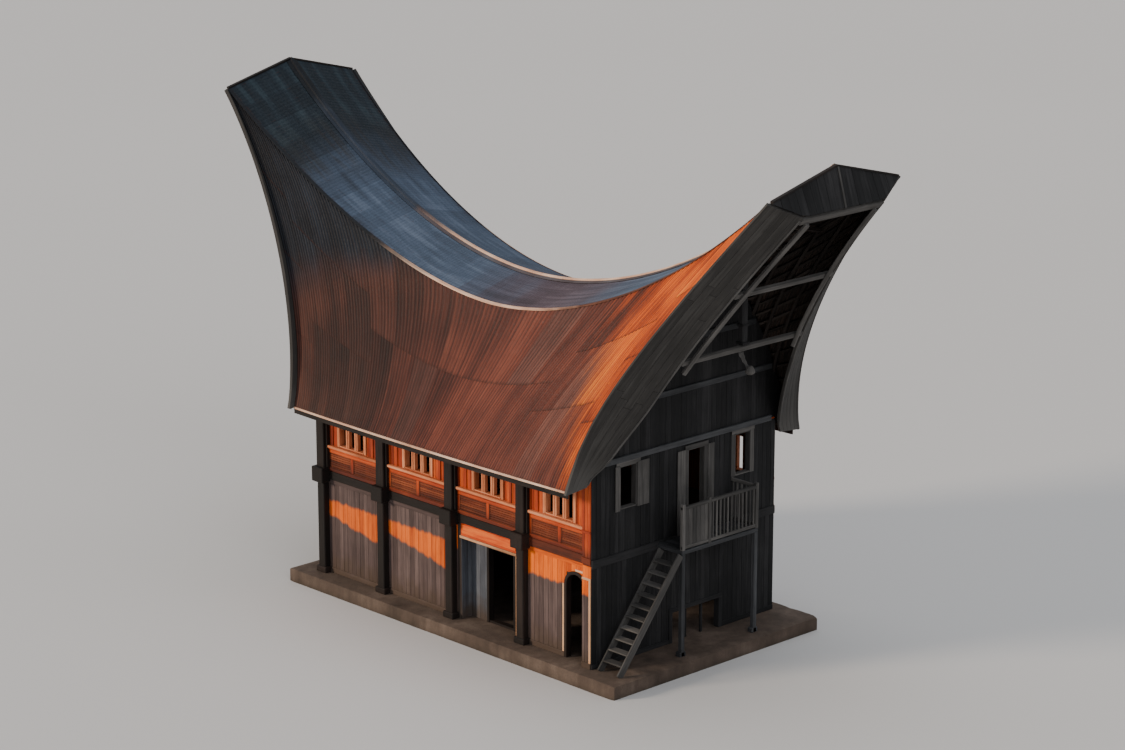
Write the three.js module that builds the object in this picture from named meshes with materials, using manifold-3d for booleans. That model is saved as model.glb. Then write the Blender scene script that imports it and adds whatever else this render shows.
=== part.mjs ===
// A tongkonan house: a two-storey timber house under a saddle roof whose ends sweep up to high tips.
// Millimetres. +Z is up, +Y runs along the ridge, the entrance gable looks towards -Y.
// The origin is on the ground, at the middle of the plan.

import * as THREE from 'three';
import { mergeVertices } from 'three/addons/utils/BufferGeometryUtils.js';
import Module from 'manifold-3d';

const wasm = await Module();
wasm.setup();

// Clearance that pieces resting on each other keep
const GAP = 0.3;
// Corners closer than this are one corner
const MERGE_DISTANCE = 1e-3;
// Step along a surface's own measures, from which its slope is worked out
const SURFACE_STEP = 1e-3;

// Plinth
const PLINTH_HEIGHT = 350;
const PLINTH_HALF_WIDTH = 3600;
const PLINTH_FRONT = -6300;
const PLINTH_REAR = 5800;

// Plan of the walls, and the storeys measured from the plinth's top
const WALL_HALF_WIDTH = 2980;
const WALL_HALF_LENGTH = 5100;
const WALL_THICKNESS = 120;
const BAYS = 4;
const BAY_LENGTH = 2600;
const GROUND_WALL_TOP = 2600;
const UPPER_FLOOR_TOP = 2700;
const WALL_TOP = 5050;

// Posts that stand proud of the long walls
const POST_WIDTH = 300;
const POST_DEPTH = 200;

// Side doorways: an arched one in the first bay, a wide recess with a doorway in the second
const ARCH_DOOR_CENTRE = -4400;
const ARCH_DOOR_WIDTH = 640;
const ARCH_DOOR_TOP = 2200;
const ARCH_SEGMENTS = 6;
const BAY_EDGE = 150;
const RECESS_DEPTH = 350;
const RECESS_DOOR_CENTRE = -1400;
const RECESS_DOOR_WIDTH = 930;
const RECESS_DOOR_TOP = 1960;
const LINTEL_BOTTOM = 2160;

// Low opening at the foot of the front wall
const LOW_OPENING_LEFT = -460;
const LOW_OPENING_RIGHT = 1210;
const LOW_OPENING_TOP = 800;

// Windows and the balcony door
const SIDE_WINDOW_CENTRES = [-3850, -1300, 1300, 3850];
const SIDE_WINDOW_WIDTH = 1000;
const SIDE_WINDOW_SILL = 3500;
const SIDE_WINDOW_TOP = 4450;
const END_WINDOW_CENTRE = 1985;
const END_WINDOW_WIDTH = 570;
const END_WINDOW_SILL = 3820;
const END_WINDOW_TOP = 4900;
const BALCONY_DOOR_CENTRE = 345;
const BALCONY_DOOR_WIDTH = 600;
const BALCONY_DOOR_TOP = 4850;

// Roof: eaves, tips, the creases where steep sides meet the ridge band, and the ridge
const EAVE_HALF_WIDTH = 3870;
const EAVE_HALF_LENGTH = 5070;
const EAVE_HEIGHT = 4520;
const EAVE_LIFT = 50;
const TIP_HALF_LENGTH = 9710;
const SHOULDER_HALF_WIDTH = 2130;
const SHOULDER_HEIGHT = 11970;
const CREASE_MID_HALF_WIDTH = 1585;
const CREASE_MID_HEIGHT = 7820;
const RIDGE_MID_HEIGHT = 8270;
const RIDGE_TIP_HEIGHT = 12510;
const CREASE_POWER = 1.85;
const RIDGE_POWER = 1.96;
const MIDDLE_FLARE = 1.2;
const END_FLARE = 1.43;
const RAKE_POWER = 1.48;
const ROOF_THICKNESS = 90;
const ATTIC_BELOW_EAVE = 180;
const CAP_THICKNESS = 30;
const CAP_SHARE = 0.08;
const RIDGE_BEAM_DEPTH = 200;
const RIDGE_BEAM_SHARE = 0.05;
const RIDGE_BEAM_REACH = 0.978;
const NOTCH_MARGIN = 5;
const FASCIA_DEPTH = 160;
const FASCIA_RISE = 20;
const FASCIA_THICKNESS = 30;
const FASCIA_REACH = 0.998;
// Joint left open along the creases
const CREASE_GAP = 5;
// The sheets' end faces are cut back underneath, behind the bargeboards
const END_CUT_BACK = 0.98;

// Steps of the roof's facets along the ridge and up the slope
const LENGTH_STEPS = 32;
const SLOPE_STEPS = 12;
const LEFT_BAND_STOPS = [-1, -CAP_SHARE, -RIDGE_BEAM_SHARE, 0];
const BAND_STOPS = [...LEFT_BAND_STOPS, RIDGE_BEAM_SHARE, CAP_SHARE, 1];

// Bargeboards: their width leans inwards, forwards and down from the rake
const BOARD_THICKNESS = 70;
const BOARD_FOOT_INWARD = 520;
const BOARD_FOOT_RISE = 50;
const BOARD_INWARD = 780;
const BOARD_FORWARD = 270;
const BOARD_DROP = 355;
const BOARD_LEAN_END = 0.35;
const BOARD_DROP_END = 0.15;
const BOARD_PROUD_FOOT = 0.28;
const BOARD_PROUD_TIP = 0.07;

// Gable rails between the bargeboards, as places along the rake
const RAIL_SHARE = 0.0075;
const LOWER_RAIL_PLACE = 0.479;
const UPPER_RAIL_PLACE = 0.717;
const TIP_BEAM_PLACE = 0.986;
const TIP_BEAM_SHARE = 0.0125;
const TIP_PANEL_RISE = 30;
const TIP_PANEL_THICKNESS = 60;

// King post under the ridge, and the carved neck that hangs below it on the entrance gable
const KING_POST_SIDE = 180;
const KING_POST_CLEARANCE = 3;
const NECK_SIDE = 130;
const NECK_REACH = 330;
const NECK_DROP = 430;
const KNOB_RADIUS = 120;
const KNOB_SIDES = 12;
const KNOB_RINGS = 8;

// Balcony before the upper door, and its stair along the front wall
const BALCONY_LEFT = -1000;
const BALCONY_RIGHT = 1660;
const BALCONY_FRONT = -6000;
const BALCONY_FLOOR_THICKNESS = 100;
const BALCONY_POST_SIDE = 120;
const RAIL_HEIGHT = 1100;
const RAIL_THICKNESS = 60;
const RAIL_BAND = 110;
const BALUSTER_WIDTH = 45;
const BALUSTER_PITCH = 125;
const SOLID_PANEL_END = -100;
const STAIR_WIDTH = 700;
const STAIR_RUN = 2200;
const STAIR_TREADS = 10;
const STRINGER_DEPTH = 220;
const STRINGER_THICKNESS = 50;
const STRINGER_HEAD_DEPTH = 330;
const STRINGER_HEAD_REACH = 55;
const STRINGER_FOOT_REACH = 110;
const TREAD_THICKNESS = 40;
const TREAD_DEPTH = 230;

// Finishes
const finish = (color, roughness, metalness = 0) =>
  new THREE.MeshStandardMaterial({ color, roughness, metalness });
const CONCRETE = finish(0x8a7762, 0.95);
const GROUND_BOARDS = finish(0x8f8a80, 0.9);
const DARK_TIMBER = finish(0x241c18, 0.75);
const PANELLING = finish(0xa8562a, 0.65);
const GABLE_TIMBER = finish(0x3f3f41, 0.85);
const BOARD_TIMBER = finish(0x5d6163, 0.8);
const PALE_TIMBER = finish(0x8d8d8a, 0.8);
const LINTEL_TIMBER = finish(0xc77b35, 0.7);
const RUSTED_SHEET = finish(0x7a4634, 0.6, 0.4);
const GREY_SHEET = finish(0x6e8296, 0.45, 0.6);
const PALE_METAL = finish(0xb9a596, 0.5, 0.5);

const lerp = THREE.MathUtils.lerp;
const smooth = THREE.MathUtils.smoothstep;

// Shape helpers

function closedBody(geometry) {
  geometry.deleteAttribute('normal');
  geometry.deleteAttribute('uv');
  return mergeVertices(geometry, MERGE_DISTANCE);
}

function signedVolume(geometry) {
  const place = geometry.getAttribute('position');
  const corners = geometry.getIndex();
  const [a, b, c] = [new THREE.Vector3(), new THREE.Vector3(), new THREE.Vector3()];
  let volume = 0;
  for (let i = 0; i < corners.count; i += 3) {
    a.fromBufferAttribute(place, corners.getX(i));
    b.fromBufferAttribute(place, corners.getX(i + 1));
    c.fromBufferAttribute(place, corners.getX(i + 2));
    volume += a.dot(b.cross(c)) / 6;
  }
  return volume;
}

function faceOutwards(geometry) {
  if (signedVolume(geometry) > 0) {
    return geometry;
  }
  const corners = geometry.getIndex();
  for (let i = 0; i < corners.count; i += 3) {
    const second = corners.getX(i + 1);
    corners.setX(i + 1, corners.getX(i + 2));
    corners.setX(i + 2, second);
  }
  return geometry;
}

// A box cut into steps, whose corners then move to shape(along, across, through), each from 0 to 1
function warpedBox(alongSteps, acrossSteps, shape) {
  const geometry = closedBody(new THREE.BoxGeometry(1, 1, 1, alongSteps, 1, acrossSteps));
  const place = geometry.getAttribute('position');
  for (let i = 0; i < place.count; i += 1) {
    const along = place.getX(i) + 0.5;
    const through = place.getY(i) + 0.5;
    const across = place.getZ(i) + 0.5;
    const point = shape(along, across, through);
    place.setXYZ(i, point.x, point.y, point.z);
  }
  return faceOutwards(geometry);
}

function block(low, high) {
  const size = high.map((value, i) => value - low[i]);
  const geometry = closedBody(new THREE.BoxGeometry(...size));
  return geometry.translate(low[0] + size[0] / 2, low[1] + size[1] / 2, low[2] + size[2] / 2);
}

// A drawing with its width along Y and its height along Z, given a thickness from x inwards
function sidePanel(shape, outerX, thickness) {
  const options = { depth: thickness, bevelEnabled: false, curveSegments: ARCH_SEGMENTS };
  const geometry = closedBody(new THREE.ExtrudeGeometry(shape, options));
  geometry.rotateX(Math.PI / 2);
  geometry.rotateZ(Math.PI / 2);
  return geometry.translate(outerX - thickness, 0, 0);
}

// A drawing with its width along X and its height along Z, given a thickness from y backwards
function endPanel(shape, frontY, thickness) {
  const options = { depth: thickness, bevelEnabled: false };
  const geometry = closedBody(new THREE.ExtrudeGeometry(shape, options));
  geometry.rotateX(Math.PI / 2);
  return geometry.translate(0, frontY + thickness, 0);
}

function mirrored(geometry) {
  return faceOutwards(geometry.clone().scale(-1, 1, 1));
}

function turned(geometry) {
  return geometry.clone().rotateZ(Math.PI);
}

function toSolid(geometry) {
  const vertProperties = new Float32Array(geometry.getAttribute('position').array);
  const triVerts = new Uint32Array(geometry.getIndex().array);
  return new wasm.Manifold(new wasm.Mesh({ numProp: 3, vertProperties, triVerts }));
}

function toGeometry(solid) {
  const mesh = solid.getMesh();
  const geometry = new THREE.BufferGeometry();
  geometry.setAttribute('position', new THREE.BufferAttribute(mesh.vertProperties, 3));
  geometry.setIndex(new THREE.BufferAttribute(mesh.triVerts, 1));
  return geometry;
}

// A block with smaller blocks cut out of it
function pierced(outside, cuts) {
  let solid = toSolid(outside);
  for (const [low, high] of cuts) {
    solid = solid.subtract(toSolid(block(low, high)));
  }
  return toGeometry(solid);
}

// Roof surfaces: u runs from -1 at the front tip to 1 at the rear one

function creasePoint(u) {
  const halfWidth = lerp(CREASE_MID_HALF_WIDTH, SHOULDER_HALF_WIDTH, u * u);
  const height = lerp(CREASE_MID_HEIGHT, SHOULDER_HEIGHT, Math.abs(u) ** CREASE_POWER);
  return new THREE.Vector3(halfWidth, u * TIP_HALF_LENGTH, height);
}

function ridgePoint(u) {
  const height = lerp(RIDGE_MID_HEIGHT, RIDGE_TIP_HEIGHT, Math.abs(u) ** RIDGE_POWER);
  return new THREE.Vector3(0, u * TIP_HALF_LENGTH, height);
}

// Right-hand slope, rise running from 0 at the eave to 1 at the crease
function slopePoint(u, rise) {
  const crease = creasePoint(u);
  const flare = lerp(MIDDLE_FLARE, END_FLARE, Math.min(u * u, 1));
  const x = crease.x + (EAVE_HALF_WIDTH - crease.x) * (1 - rise) ** flare;
  const y = u * (EAVE_HALF_LENGTH + (TIP_HALF_LENGTH - EAVE_HALF_LENGTH) * rise ** RAKE_POWER);
  const z = lerp(EAVE_HEIGHT + EAVE_LIFT * u * u, crease.z, rise);
  return new THREE.Vector3(x, y, z);
}

// Ridge band, share running from -1 at the left crease over 0 at the ridge to 1 at the right one
function bandPoint(u, share) {
  const point = ridgePoint(u).lerp(creasePoint(u), Math.abs(share));
  point.x *= Math.sign(share);
  return point;
}

function surfaceNormal(surface, u, v, vStep) {
  const uStep = u > 0 ? -SURFACE_STEP : SURFACE_STEP;
  const here = surface(u, v);
  const alongU = surface(u + uStep, v).sub(here);
  const alongV = surface(u, v + vStep).sub(here);
  const normal = alongU.cross(alongV).normalize();
  return normal.z < 0 ? normal.negate() : normal;
}

// The direction that keeps the same distance from two sheets at their common edge
function mitre(first, second) {
  return first.clone().add(second).divideScalar(1 + first.dot(second));
}

function slopeInward(u, rise) {
  const step = rise > 0.5 ? -SURFACE_STEP : SURFACE_STEP;
  const normal = surfaceNormal(slopePoint, u, rise, step);
  if (rise < 1) {
    return normal.negate();
  }
  return mitre(normal, surfaceNormal(bandPoint, u, 1, -SURFACE_STEP)).negate();
}

function bandInward(u, share) {
  const side = Math.sign(share) || 1;
  const normal = surfaceNormal(bandPoint, u, share, share > 0 ? -SURFACE_STEP : SURFACE_STEP);
  if (Math.abs(share) === 1) {
    const slope = surfaceNormal(slopePoint, u, 1, -SURFACE_STEP);
    slope.x *= side;
    return mitre(normal, slope).negate();
  }
  if (share === 0) {
    const other = normal.clone();
    other.x *= -1;
    return mitre(normal, other).negate();
  }
  return normal.negate();
}

function slopeDepth(u, rise, depth) {
  return slopePoint(u, rise).addScaledVector(slopeInward(u, rise), depth);
}

function bandDepth(u, share, depth) {
  return bandPoint(u, share).addScaledVector(bandInward(u, share), depth);
}

function leftwards(point) {
  point.x *= -1;
  return point;
}

// Place on the band's stops, for across from 0 at the first stop to 1 at the last
function stopAt(stops, across) {
  return stops[Math.round(across * (stops.length - 1))];
}

// A sheet's place along the ridge, cut back at the tips on its underside
function sheetPlace(u, through) {
  return Math.abs(u) === 1 && through < 0.5 ? u * END_CUT_BACK : u;
}

// Half of the left slope: end is -1 for the half at the front tip, and 1 for the other
function leftSlopeGeometry(end) {
  return warpedBox(LENGTH_STEPS / 2, SLOPE_STEPS, (along, across, through) => {
    const u = end < 0 ? along - 1 : along;
    const point = slopeDepth(sheetPlace(u, through), across, ROOF_THICKNESS * (1 - through));
    if (across === 1) {
      point.x += CREASE_GAP;
      point.y *= 1 - CREASE_GAP / TIP_HALF_LENGTH;
    }
    if (u === 0) {
      point.y = end * GAP / 2;
    }
    return leftwards(point);
  });
}

function leftBandGeometry() {
  const steps = LEFT_BAND_STOPS.length - 1;
  return warpedBox(LENGTH_STEPS, steps, (along, across, through) => {
    const stop = stopAt(LEFT_BAND_STOPS, across);
    const u = sheetPlace(along * 2 - 1, through);
    const point = bandDepth(u, stop, ROOF_THICKNESS * (1 - through));
    if (stop === 0) {
      point.x = -GAP / 2;
    }
    return point;
  });
}

// The cap lies on the ridge band's own facets
function ridgeCapGeometry() {
  const stops = BAND_STOPS.filter((stop) => Math.abs(stop) <= CAP_SHARE);
  return warpedBox(LENGTH_STEPS, stops.length - 1, (along, across, through) =>
    bandDepth(1 - along * 2, stopAt(stops, across), -GAP - through * CAP_THICKNESS));
}

// Half of the beam's width narrows with its share of the band; margin makes it larger all round
function ridgeBeamGeometry(margin) {
  const stops = BAND_STOPS.filter((stop) => Math.abs(stop) <= RIDGE_BEAM_SHARE);
  return warpedBox(LENGTH_STEPS, stops.length - 1, (along, across, through) => {
    const place = 1 - along * 2;
    const u = Math.abs(place) === 1 ? place * RIDGE_BEAM_REACH : place;
    const stop = stopAt(stops, across);
    const point = bandDepth(u, stop, ROOF_THICKNESS + GAP - margin);
    point.x += Math.sign(stop) * margin;
    if (through < 0.5) {
      point.z = ridgeBeamBottom(u) - margin;
    }
    return point;
  });
}

function ridgeBeamBottom(u) {
  return bandDepth(u, 0, ROOF_THICKNESS + GAP).z - RIDGE_BEAM_DEPTH;
}

// The room under the roof sheets, down to the eaves
function atticSolid() {
  const acrossSteps = 2 * SLOPE_STEPS + BAND_STOPS.length - 1;
  const depth = ROOF_THICKNESS + GAP;
  const underside = (u, step) => {
    if (step < SLOPE_STEPS) {
      return leftwards(slopeDepth(u, step / SLOPE_STEPS, depth));
    }
    const bandStep = step - SLOPE_STEPS;
    if (bandStep < BAND_STOPS.length) {
      return bandDepth(u, BAND_STOPS[bandStep], depth);
    }
    return slopeDepth(u, (acrossSteps - step) / SLOPE_STEPS, depth);
  };
  return toSolid(warpedBox(LENGTH_STEPS, acrossSteps, (along, across, through) => {
    const point = underside(sheetPlace(1 - along * 2, 0), Math.round(across * acrossSteps));
    if (through < 0.5) {
      point.z = EAVE_HEIGHT - ATTIC_BELOW_EAVE;
    }
    return point;
  }));
}

function gableWallGeometry(attic, frontY) {
  const low = [-EAVE_HALF_WIDTH, frontY, WALL_TOP + GAP];
  const high = [EAVE_HALF_WIDTH, frontY + WALL_THICKNESS, RIDGE_TIP_HEIGHT];
  const wall = attic.intersect(toSolid(block(low, high)));
  return toGeometry(wall.subtract(toSolid(ridgeBeamGeometry(NOTCH_MARGIN))));
}

function fasciaGeometry() {
  return warpedBox(LENGTH_STEPS, 1, (along, across, through) => {
    const point = slopePoint((along * 2 - 1) * FASCIA_REACH, 0);
    point.x += GAP + across * FASCIA_THICKNESS;
    point.z += lerp(FASCIA_RISE - FASCIA_DEPTH, FASCIA_RISE, through);
    return leftwards(point);
  });
}

// Bargeboards of the front gable

function boardWidthVector(rise) {
  const lean = smooth(rise, 0, BOARD_LEAN_END);
  const drop = smooth(rise, 0, BOARD_DROP_END);
  return new THREE.Vector3(
    -lerp(BOARD_FOOT_INWARD, BOARD_INWARD, lean),
    -BOARD_FORWARD * lean,
    lerp(BOARD_FOOT_RISE, -BOARD_DROP, drop));
}

function rakePoint(rise) {
  return slopePoint(-1, rise);
}

function rakeDirection(rise) {
  const step = rise > 0.5 ? -SURFACE_STEP : SURFACE_STEP;
  return rakePoint(rise + step).sub(rakePoint(rise)).multiplyScalar(Math.sign(step)).normalize();
}

function boardNormal(rise) {
  const normal = rakeDirection(rise).cross(boardWidthVector(rise)).normalize();
  return normal.y > 0 ? normal.negate() : normal;
}

// width: 0 at the rake, 1 at the inner edge; depth in mm in front of the roof's end
function boardPoint(rise, width, depth) {
  return rakePoint(rise)
    .addScaledVector(boardWidthVector(rise), width)
    .addScaledVector(boardNormal(rise), GAP + depth);
}

// The same on the board's straight facets
function facetBoardPoint(rise, width, depth) {
  const low = Math.min(Math.floor(rise * SLOPE_STEPS), SLOPE_STEPS - 1);
  const start = boardPoint(low / SLOPE_STEPS, width, depth);
  const end = boardPoint((low + 1) / SLOPE_STEPS, width, depth);
  return start.lerp(end, rise * SLOPE_STEPS - low);
}

function bargeboardGeometry() {
  return warpedBox(SLOPE_STEPS, 1, (along, across, through) => {
    const proud = lerp(BOARD_PROUD_FOOT, BOARD_PROUD_TIP, smooth(along, 0, 1));
    return boardPoint(along, lerp(-proud, 1, across), through * BOARD_THICKNESS);
  });
}

// A rail from one bargeboard's inner edge to the other's
function gableRailGeometry(place, share) {
  return warpedBox(1, 1, (along, across, through) => {
    const rise = place + (across * 2 - 1) * share;
    const point = facetBoardPoint(rise, 1, through * BOARD_THICKNESS);
    point.x -= 2 * GAP;
    return along < 0.5 ? leftwards(point) : point;
  });
}

// Foot of the tip panel at each of its stops: the bargeboards' ends, and the line between them
function tipPanelFoot(stop, depth) {
  const outer = boardPoint(1, 0, depth);
  const inner = boardPoint(1, 1, depth);
  const foot = Math.abs(stop) === 2 ? outer : inner;
  foot.x *= Math.sign(stop);
  foot.z += 2 * GAP;
  return foot;
}

// The folded panel that closes the tip between the roof's top edges and the tip beam
function tipPanelGeometry() {
  const stops = [-2, -1, 0, 1, 2];
  return warpedBox(stops.length - 1, 1, (along, across, through) => {
    const depth = through * TIP_PANEL_THICKNESS;
    const corner = tipPanelFoot(stopAt(stops, along), depth);
    if (across < 0.5) {
      return corner;
    }
    const share = Math.min(Math.abs(corner.x) / SHOULDER_HALF_WIDTH, 1);
    corner.z = lerp(RIDGE_TIP_HEIGHT, SHOULDER_HEIGHT, share) + TIP_PANEL_RISE;
    corner.y = -TIP_HALF_LENGTH - 2 * GAP - depth;
    return corner;
  });
}

// The post stands on the lower gable rail, and ends under the ridge beam's lowest point above it
function kingPostGeometry() {
  const seat = facetBoardPoint(LOWER_RAIL_PLACE + RAIL_SHARE, 1, 0);
  const half = KING_POST_SIDE / 2;
  const rear = seat.y + half;
  const overhead = bandDepth(rear / TIP_HALF_LENGTH, 0, ROOF_THICKNESS + GAP);
  const u = (2 * rear - overhead.y) / TIP_HALF_LENGTH;
  const low = [-half, seat.y - half, seat.z + 2 * GAP];
  return block(low, [half, rear, ridgeBeamBottom(u) - KING_POST_CLEARANCE]);
}

// Neck and round head that hang from the lower gable rail of the entrance front
function hangingNeckGeometry() {
  const rail = facetBoardPoint(LOWER_RAIL_PLACE - RAIL_SHARE, 1, BOARD_THICKNESS);
  const half = NECK_SIDE / 2;
  const neck = warpedBox(1, 1, (along, across, through) => new THREE.Vector3(
    (across * 2 - 1) * half,
    rail.y + half + (through * 2 - 1) * half - along * NECK_REACH,
    rail.z - 2 * GAP - along * NECK_DROP));
  const head = closedBody(new THREE.SphereGeometry(KNOB_RADIUS, KNOB_SIDES, KNOB_RINGS));
  head.rotateX(Math.PI / 2);
  head.translate(0, rail.y + half - NECK_REACH, rail.z - NECK_DROP);
  return toGeometry(toSolid(neck).add(toSolid(head)));
}

// Walls of the ground storey

function archedBayShape() {
  const left = ARCH_DOOR_CENTRE - ARCH_DOOR_WIDTH / 2;
  const right = ARCH_DOOR_CENTRE + ARCH_DOOR_WIDTH / 2;
  const spring = ARCH_DOOR_TOP - ARCH_DOOR_WIDTH / 2;
  const shape = new THREE.Shape();
  shape.moveTo(-WALL_HALF_LENGTH + WALL_THICKNESS + GAP, GAP);
  shape.lineTo(left, GAP);
  shape.lineTo(left, spring);
  shape.absarc(ARCH_DOOR_CENTRE, spring, ARCH_DOOR_WIDTH / 2, Math.PI, 0, true);
  shape.lineTo(right, GAP);
  shape.lineTo(-BAY_LENGTH + BAY_EDGE - GAP, GAP);
  shape.lineTo(-BAY_LENGTH + BAY_EDGE - GAP, GROUND_WALL_TOP - GAP);
  shape.lineTo(-WALL_HALF_LENGTH + WALL_THICKNESS + GAP, GROUND_WALL_TOP - GAP);
  shape.closePath();
  return shape;
}

function recessGeometry() {
  const start = -BAY_LENGTH + BAY_EDGE;
  const end = -BAY_EDGE;
  const outer = WALL_HALF_WIDTH;
  const inner = outer - RECESS_DEPTH;
  const plan = new THREE.Shape();
  plan.moveTo(outer, start);
  plan.lineTo(outer, start + WALL_THICKNESS);
  plan.lineTo(inner, start + WALL_THICKNESS);
  plan.lineTo(inner, end - WALL_THICKNESS);
  plan.lineTo(outer, end - WALL_THICKNESS);
  plan.lineTo(outer, end);
  plan.lineTo(inner - WALL_THICKNESS, end);
  plan.lineTo(inner - WALL_THICKNESS, start);
  plan.closePath();
  const options = { depth: GROUND_WALL_TOP - 2 * GAP, bevelEnabled: false };
  const walls = faceOutwards(closedBody(new THREE.ExtrudeGeometry(plan, options)));
  walls.translate(0, 0, GAP);
  const half = RECESS_DOOR_WIDTH / 2;
  const low = [inner - 2 * WALL_THICKNESS, RECESS_DOOR_CENTRE - half, -WALL_THICKNESS];
  const high = [inner + WALL_THICKNESS, RECESS_DOOR_CENTRE + half, RECESS_DOOR_TOP];
  return toGeometry(toSolid(walls).subtract(toSolid(block(low, high))));
}

function lintelGeometry() {
  const start = -BAY_LENGTH + BAY_EDGE + WALL_THICKNESS + GAP;
  const end = -BAY_EDGE - WALL_THICKNESS - GAP;
  const low = [WALL_HALF_WIDTH - WALL_THICKNESS, start, LINTEL_BOTTOM];
  return block(low, [WALL_HALF_WIDTH, end, GROUND_WALL_TOP - GAP]);
}

function rearBaysGeometry() {
  const low = [WALL_HALF_WIDTH - WALL_THICKNESS, -BAY_EDGE + GAP, GAP];
  const end = WALL_HALF_LENGTH - WALL_THICKNESS - GAP;
  return block(low, [WALL_HALF_WIDTH, end, GROUND_WALL_TOP - GAP]);
}

function frontGroundWallShape() {
  const half = WALL_HALF_WIDTH - GAP;
  const shape = new THREE.Shape();
  shape.moveTo(-half, GAP);
  shape.lineTo(LOW_OPENING_LEFT, GAP);
  shape.lineTo(LOW_OPENING_LEFT, LOW_OPENING_TOP);
  shape.lineTo(LOW_OPENING_RIGHT, LOW_OPENING_TOP);
  shape.lineTo(LOW_OPENING_RIGHT, GAP);
  shape.lineTo(half, GAP);
  shape.lineTo(half, GROUND_WALL_TOP - GAP);
  shape.lineTo(-half, GROUND_WALL_TOP - GAP);
  shape.closePath();
  return shape;
}

// Walls of the upper storey

// Cut through a long wall's thickness, and one through an end wall's
function sideCut(from, to, bottom, top) {
  const inner = WALL_HALF_WIDTH - 2 * WALL_THICKNESS;
  return [[inner, from, bottom], [WALL_HALF_WIDTH + WALL_THICKNESS, to, top]];
}

function endCut(frontY, from, to, bottom, top) {
  return [[from, frontY - WALL_THICKNESS, bottom], [to, frontY + 2 * WALL_THICKNESS, top]];
}

function upperSideGeometry() {
  const half = SIDE_WINDOW_WIDTH / 2;
  const end = WALL_HALF_LENGTH - WALL_THICKNESS - GAP;
  const low = [WALL_HALF_WIDTH - WALL_THICKNESS, -end, UPPER_FLOOR_TOP + GAP];
  const cuts = SIDE_WINDOW_CENTRES.map((centre) =>
    sideCut(centre - half, centre + half, SIDE_WINDOW_SILL, SIDE_WINDOW_TOP));
  return pierced(block(low, [WALL_HALF_WIDTH, end, WALL_TOP]), cuts);
}

function endWindowCut(frontY, centre) {
  const half = END_WINDOW_WIDTH / 2;
  return endCut(frontY, centre - half, centre + half, END_WINDOW_SILL, END_WINDOW_TOP);
}

function upperEndGeometry(frontY, cuts) {
  const half = WALL_HALF_WIDTH - GAP;
  const low = [-half, frontY, UPPER_FLOOR_TOP + GAP];
  const windows = [-END_WINDOW_CENTRE, END_WINDOW_CENTRE].map((x) => endWindowCut(frontY, x));
  return pierced(block(low, [half, frontY + WALL_THICKNESS, WALL_TOP]), [...windows, ...cuts]);
}

function balconyDoorCut() {
  const half = BALCONY_DOOR_WIDTH / 2;
  const from = BALCONY_DOOR_CENTRE - half;
  return endCut(-WALL_HALF_LENGTH, from, from + BALCONY_DOOR_WIDTH, GROUND_WALL_TOP, BALCONY_DOOR_TOP);
}

// Balcony and stair

function frontRailingGeometry() {
  const floor = UPPER_FLOOR_TOP + GAP;
  const top = UPPER_FLOOR_TOP + RAIL_HEIGHT;
  const back = BALCONY_FRONT + RAIL_THICKNESS;
  const cuts = [];
  const last = BALCONY_RIGHT - BALCONY_POST_SIDE;
  for (let x = SOLID_PANEL_END; x + BALUSTER_PITCH <= last; x += BALUSTER_PITCH) {
    const low = [x + BALUSTER_WIDTH, BALCONY_FRONT - RAIL_THICKNESS, floor + RAIL_BAND];
    cuts.push([low, [x + BALUSTER_PITCH, back + RAIL_THICKNESS, top - RAIL_BAND]]);
  }
  return pierced(block([BALCONY_LEFT, BALCONY_FRONT, floor], [BALCONY_RIGHT, back, top]), cuts);
}

function endRailingGeometry() {
  const floor = UPPER_FLOOR_TOP + GAP;
  const top = UPPER_FLOOR_TOP + RAIL_HEIGHT;
  const inner = BALCONY_RIGHT - RAIL_THICKNESS;
  const start = BALCONY_FRONT + RAIL_THICKNESS + GAP;
  const end = -WALL_HALF_LENGTH - GAP;
  const cuts = [];
  for (let y = start + BALUSTER_PITCH; y + BALUSTER_WIDTH <= end; y += BALUSTER_PITCH) {
    const low = [inner - RAIL_THICKNESS, y - BALUSTER_PITCH + BALUSTER_WIDTH, floor + RAIL_BAND];
    cuts.push([low, [BALCONY_RIGHT + RAIL_THICKNESS, y, top - RAIL_BAND]]);
  }
  return pierced(block([inner, start, floor], [BALCONY_RIGHT, end, top]), cuts);
}

function stringerShape() {
  const top = UPPER_FLOOR_TOP - GAP;
  const head = BALCONY_LEFT - GAP;
  const foot = head - STAIR_RUN;
  const cutBack = STRINGER_DEPTH * STAIR_RUN / top;
  const shape = new THREE.Shape();
  shape.moveTo(foot, GAP);
  shape.lineTo(foot + cutBack + STRINGER_FOOT_REACH, GAP);
  shape.lineTo(head, top - STRINGER_HEAD_DEPTH);
  shape.lineTo(head, top);
  shape.lineTo(head - STRINGER_HEAD_REACH, top);
  shape.closePath();
  return shape;
}

function stairGeometry() {
  const nearY = BALCONY_FRONT;
  const farY = BALCONY_FRONT + STAIR_WIDTH - STRINGER_THICKNESS;
  let flight = toSolid(endPanel(stringerShape(), nearY, STRINGER_THICKNESS));
  flight = flight.add(toSolid(endPanel(stringerShape(), farY, STRINGER_THICKNESS)));
  const rise = UPPER_FLOOR_TOP / (STAIR_TREADS + 1);
  const start = BALCONY_LEFT - STAIR_RUN + STRINGER_FOOT_REACH;
  const going = (STAIR_RUN - STRINGER_FOOT_REACH) / (STAIR_TREADS + 1);
  for (let i = 1; i <= STAIR_TREADS; i += 1) {
    const x = start + i * going - TREAD_DEPTH / 2;
    const low = [x, nearY + STRINGER_THICKNESS / 2, i * rise - TREAD_THICKNESS];
    const high = [x + TREAD_DEPTH, farY + STRINGER_THICKNESS / 2, i * rise];
    flight = flight.add(toSolid(block(low, high)));
  }
  return toGeometry(flight);
}

// Assembly

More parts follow.
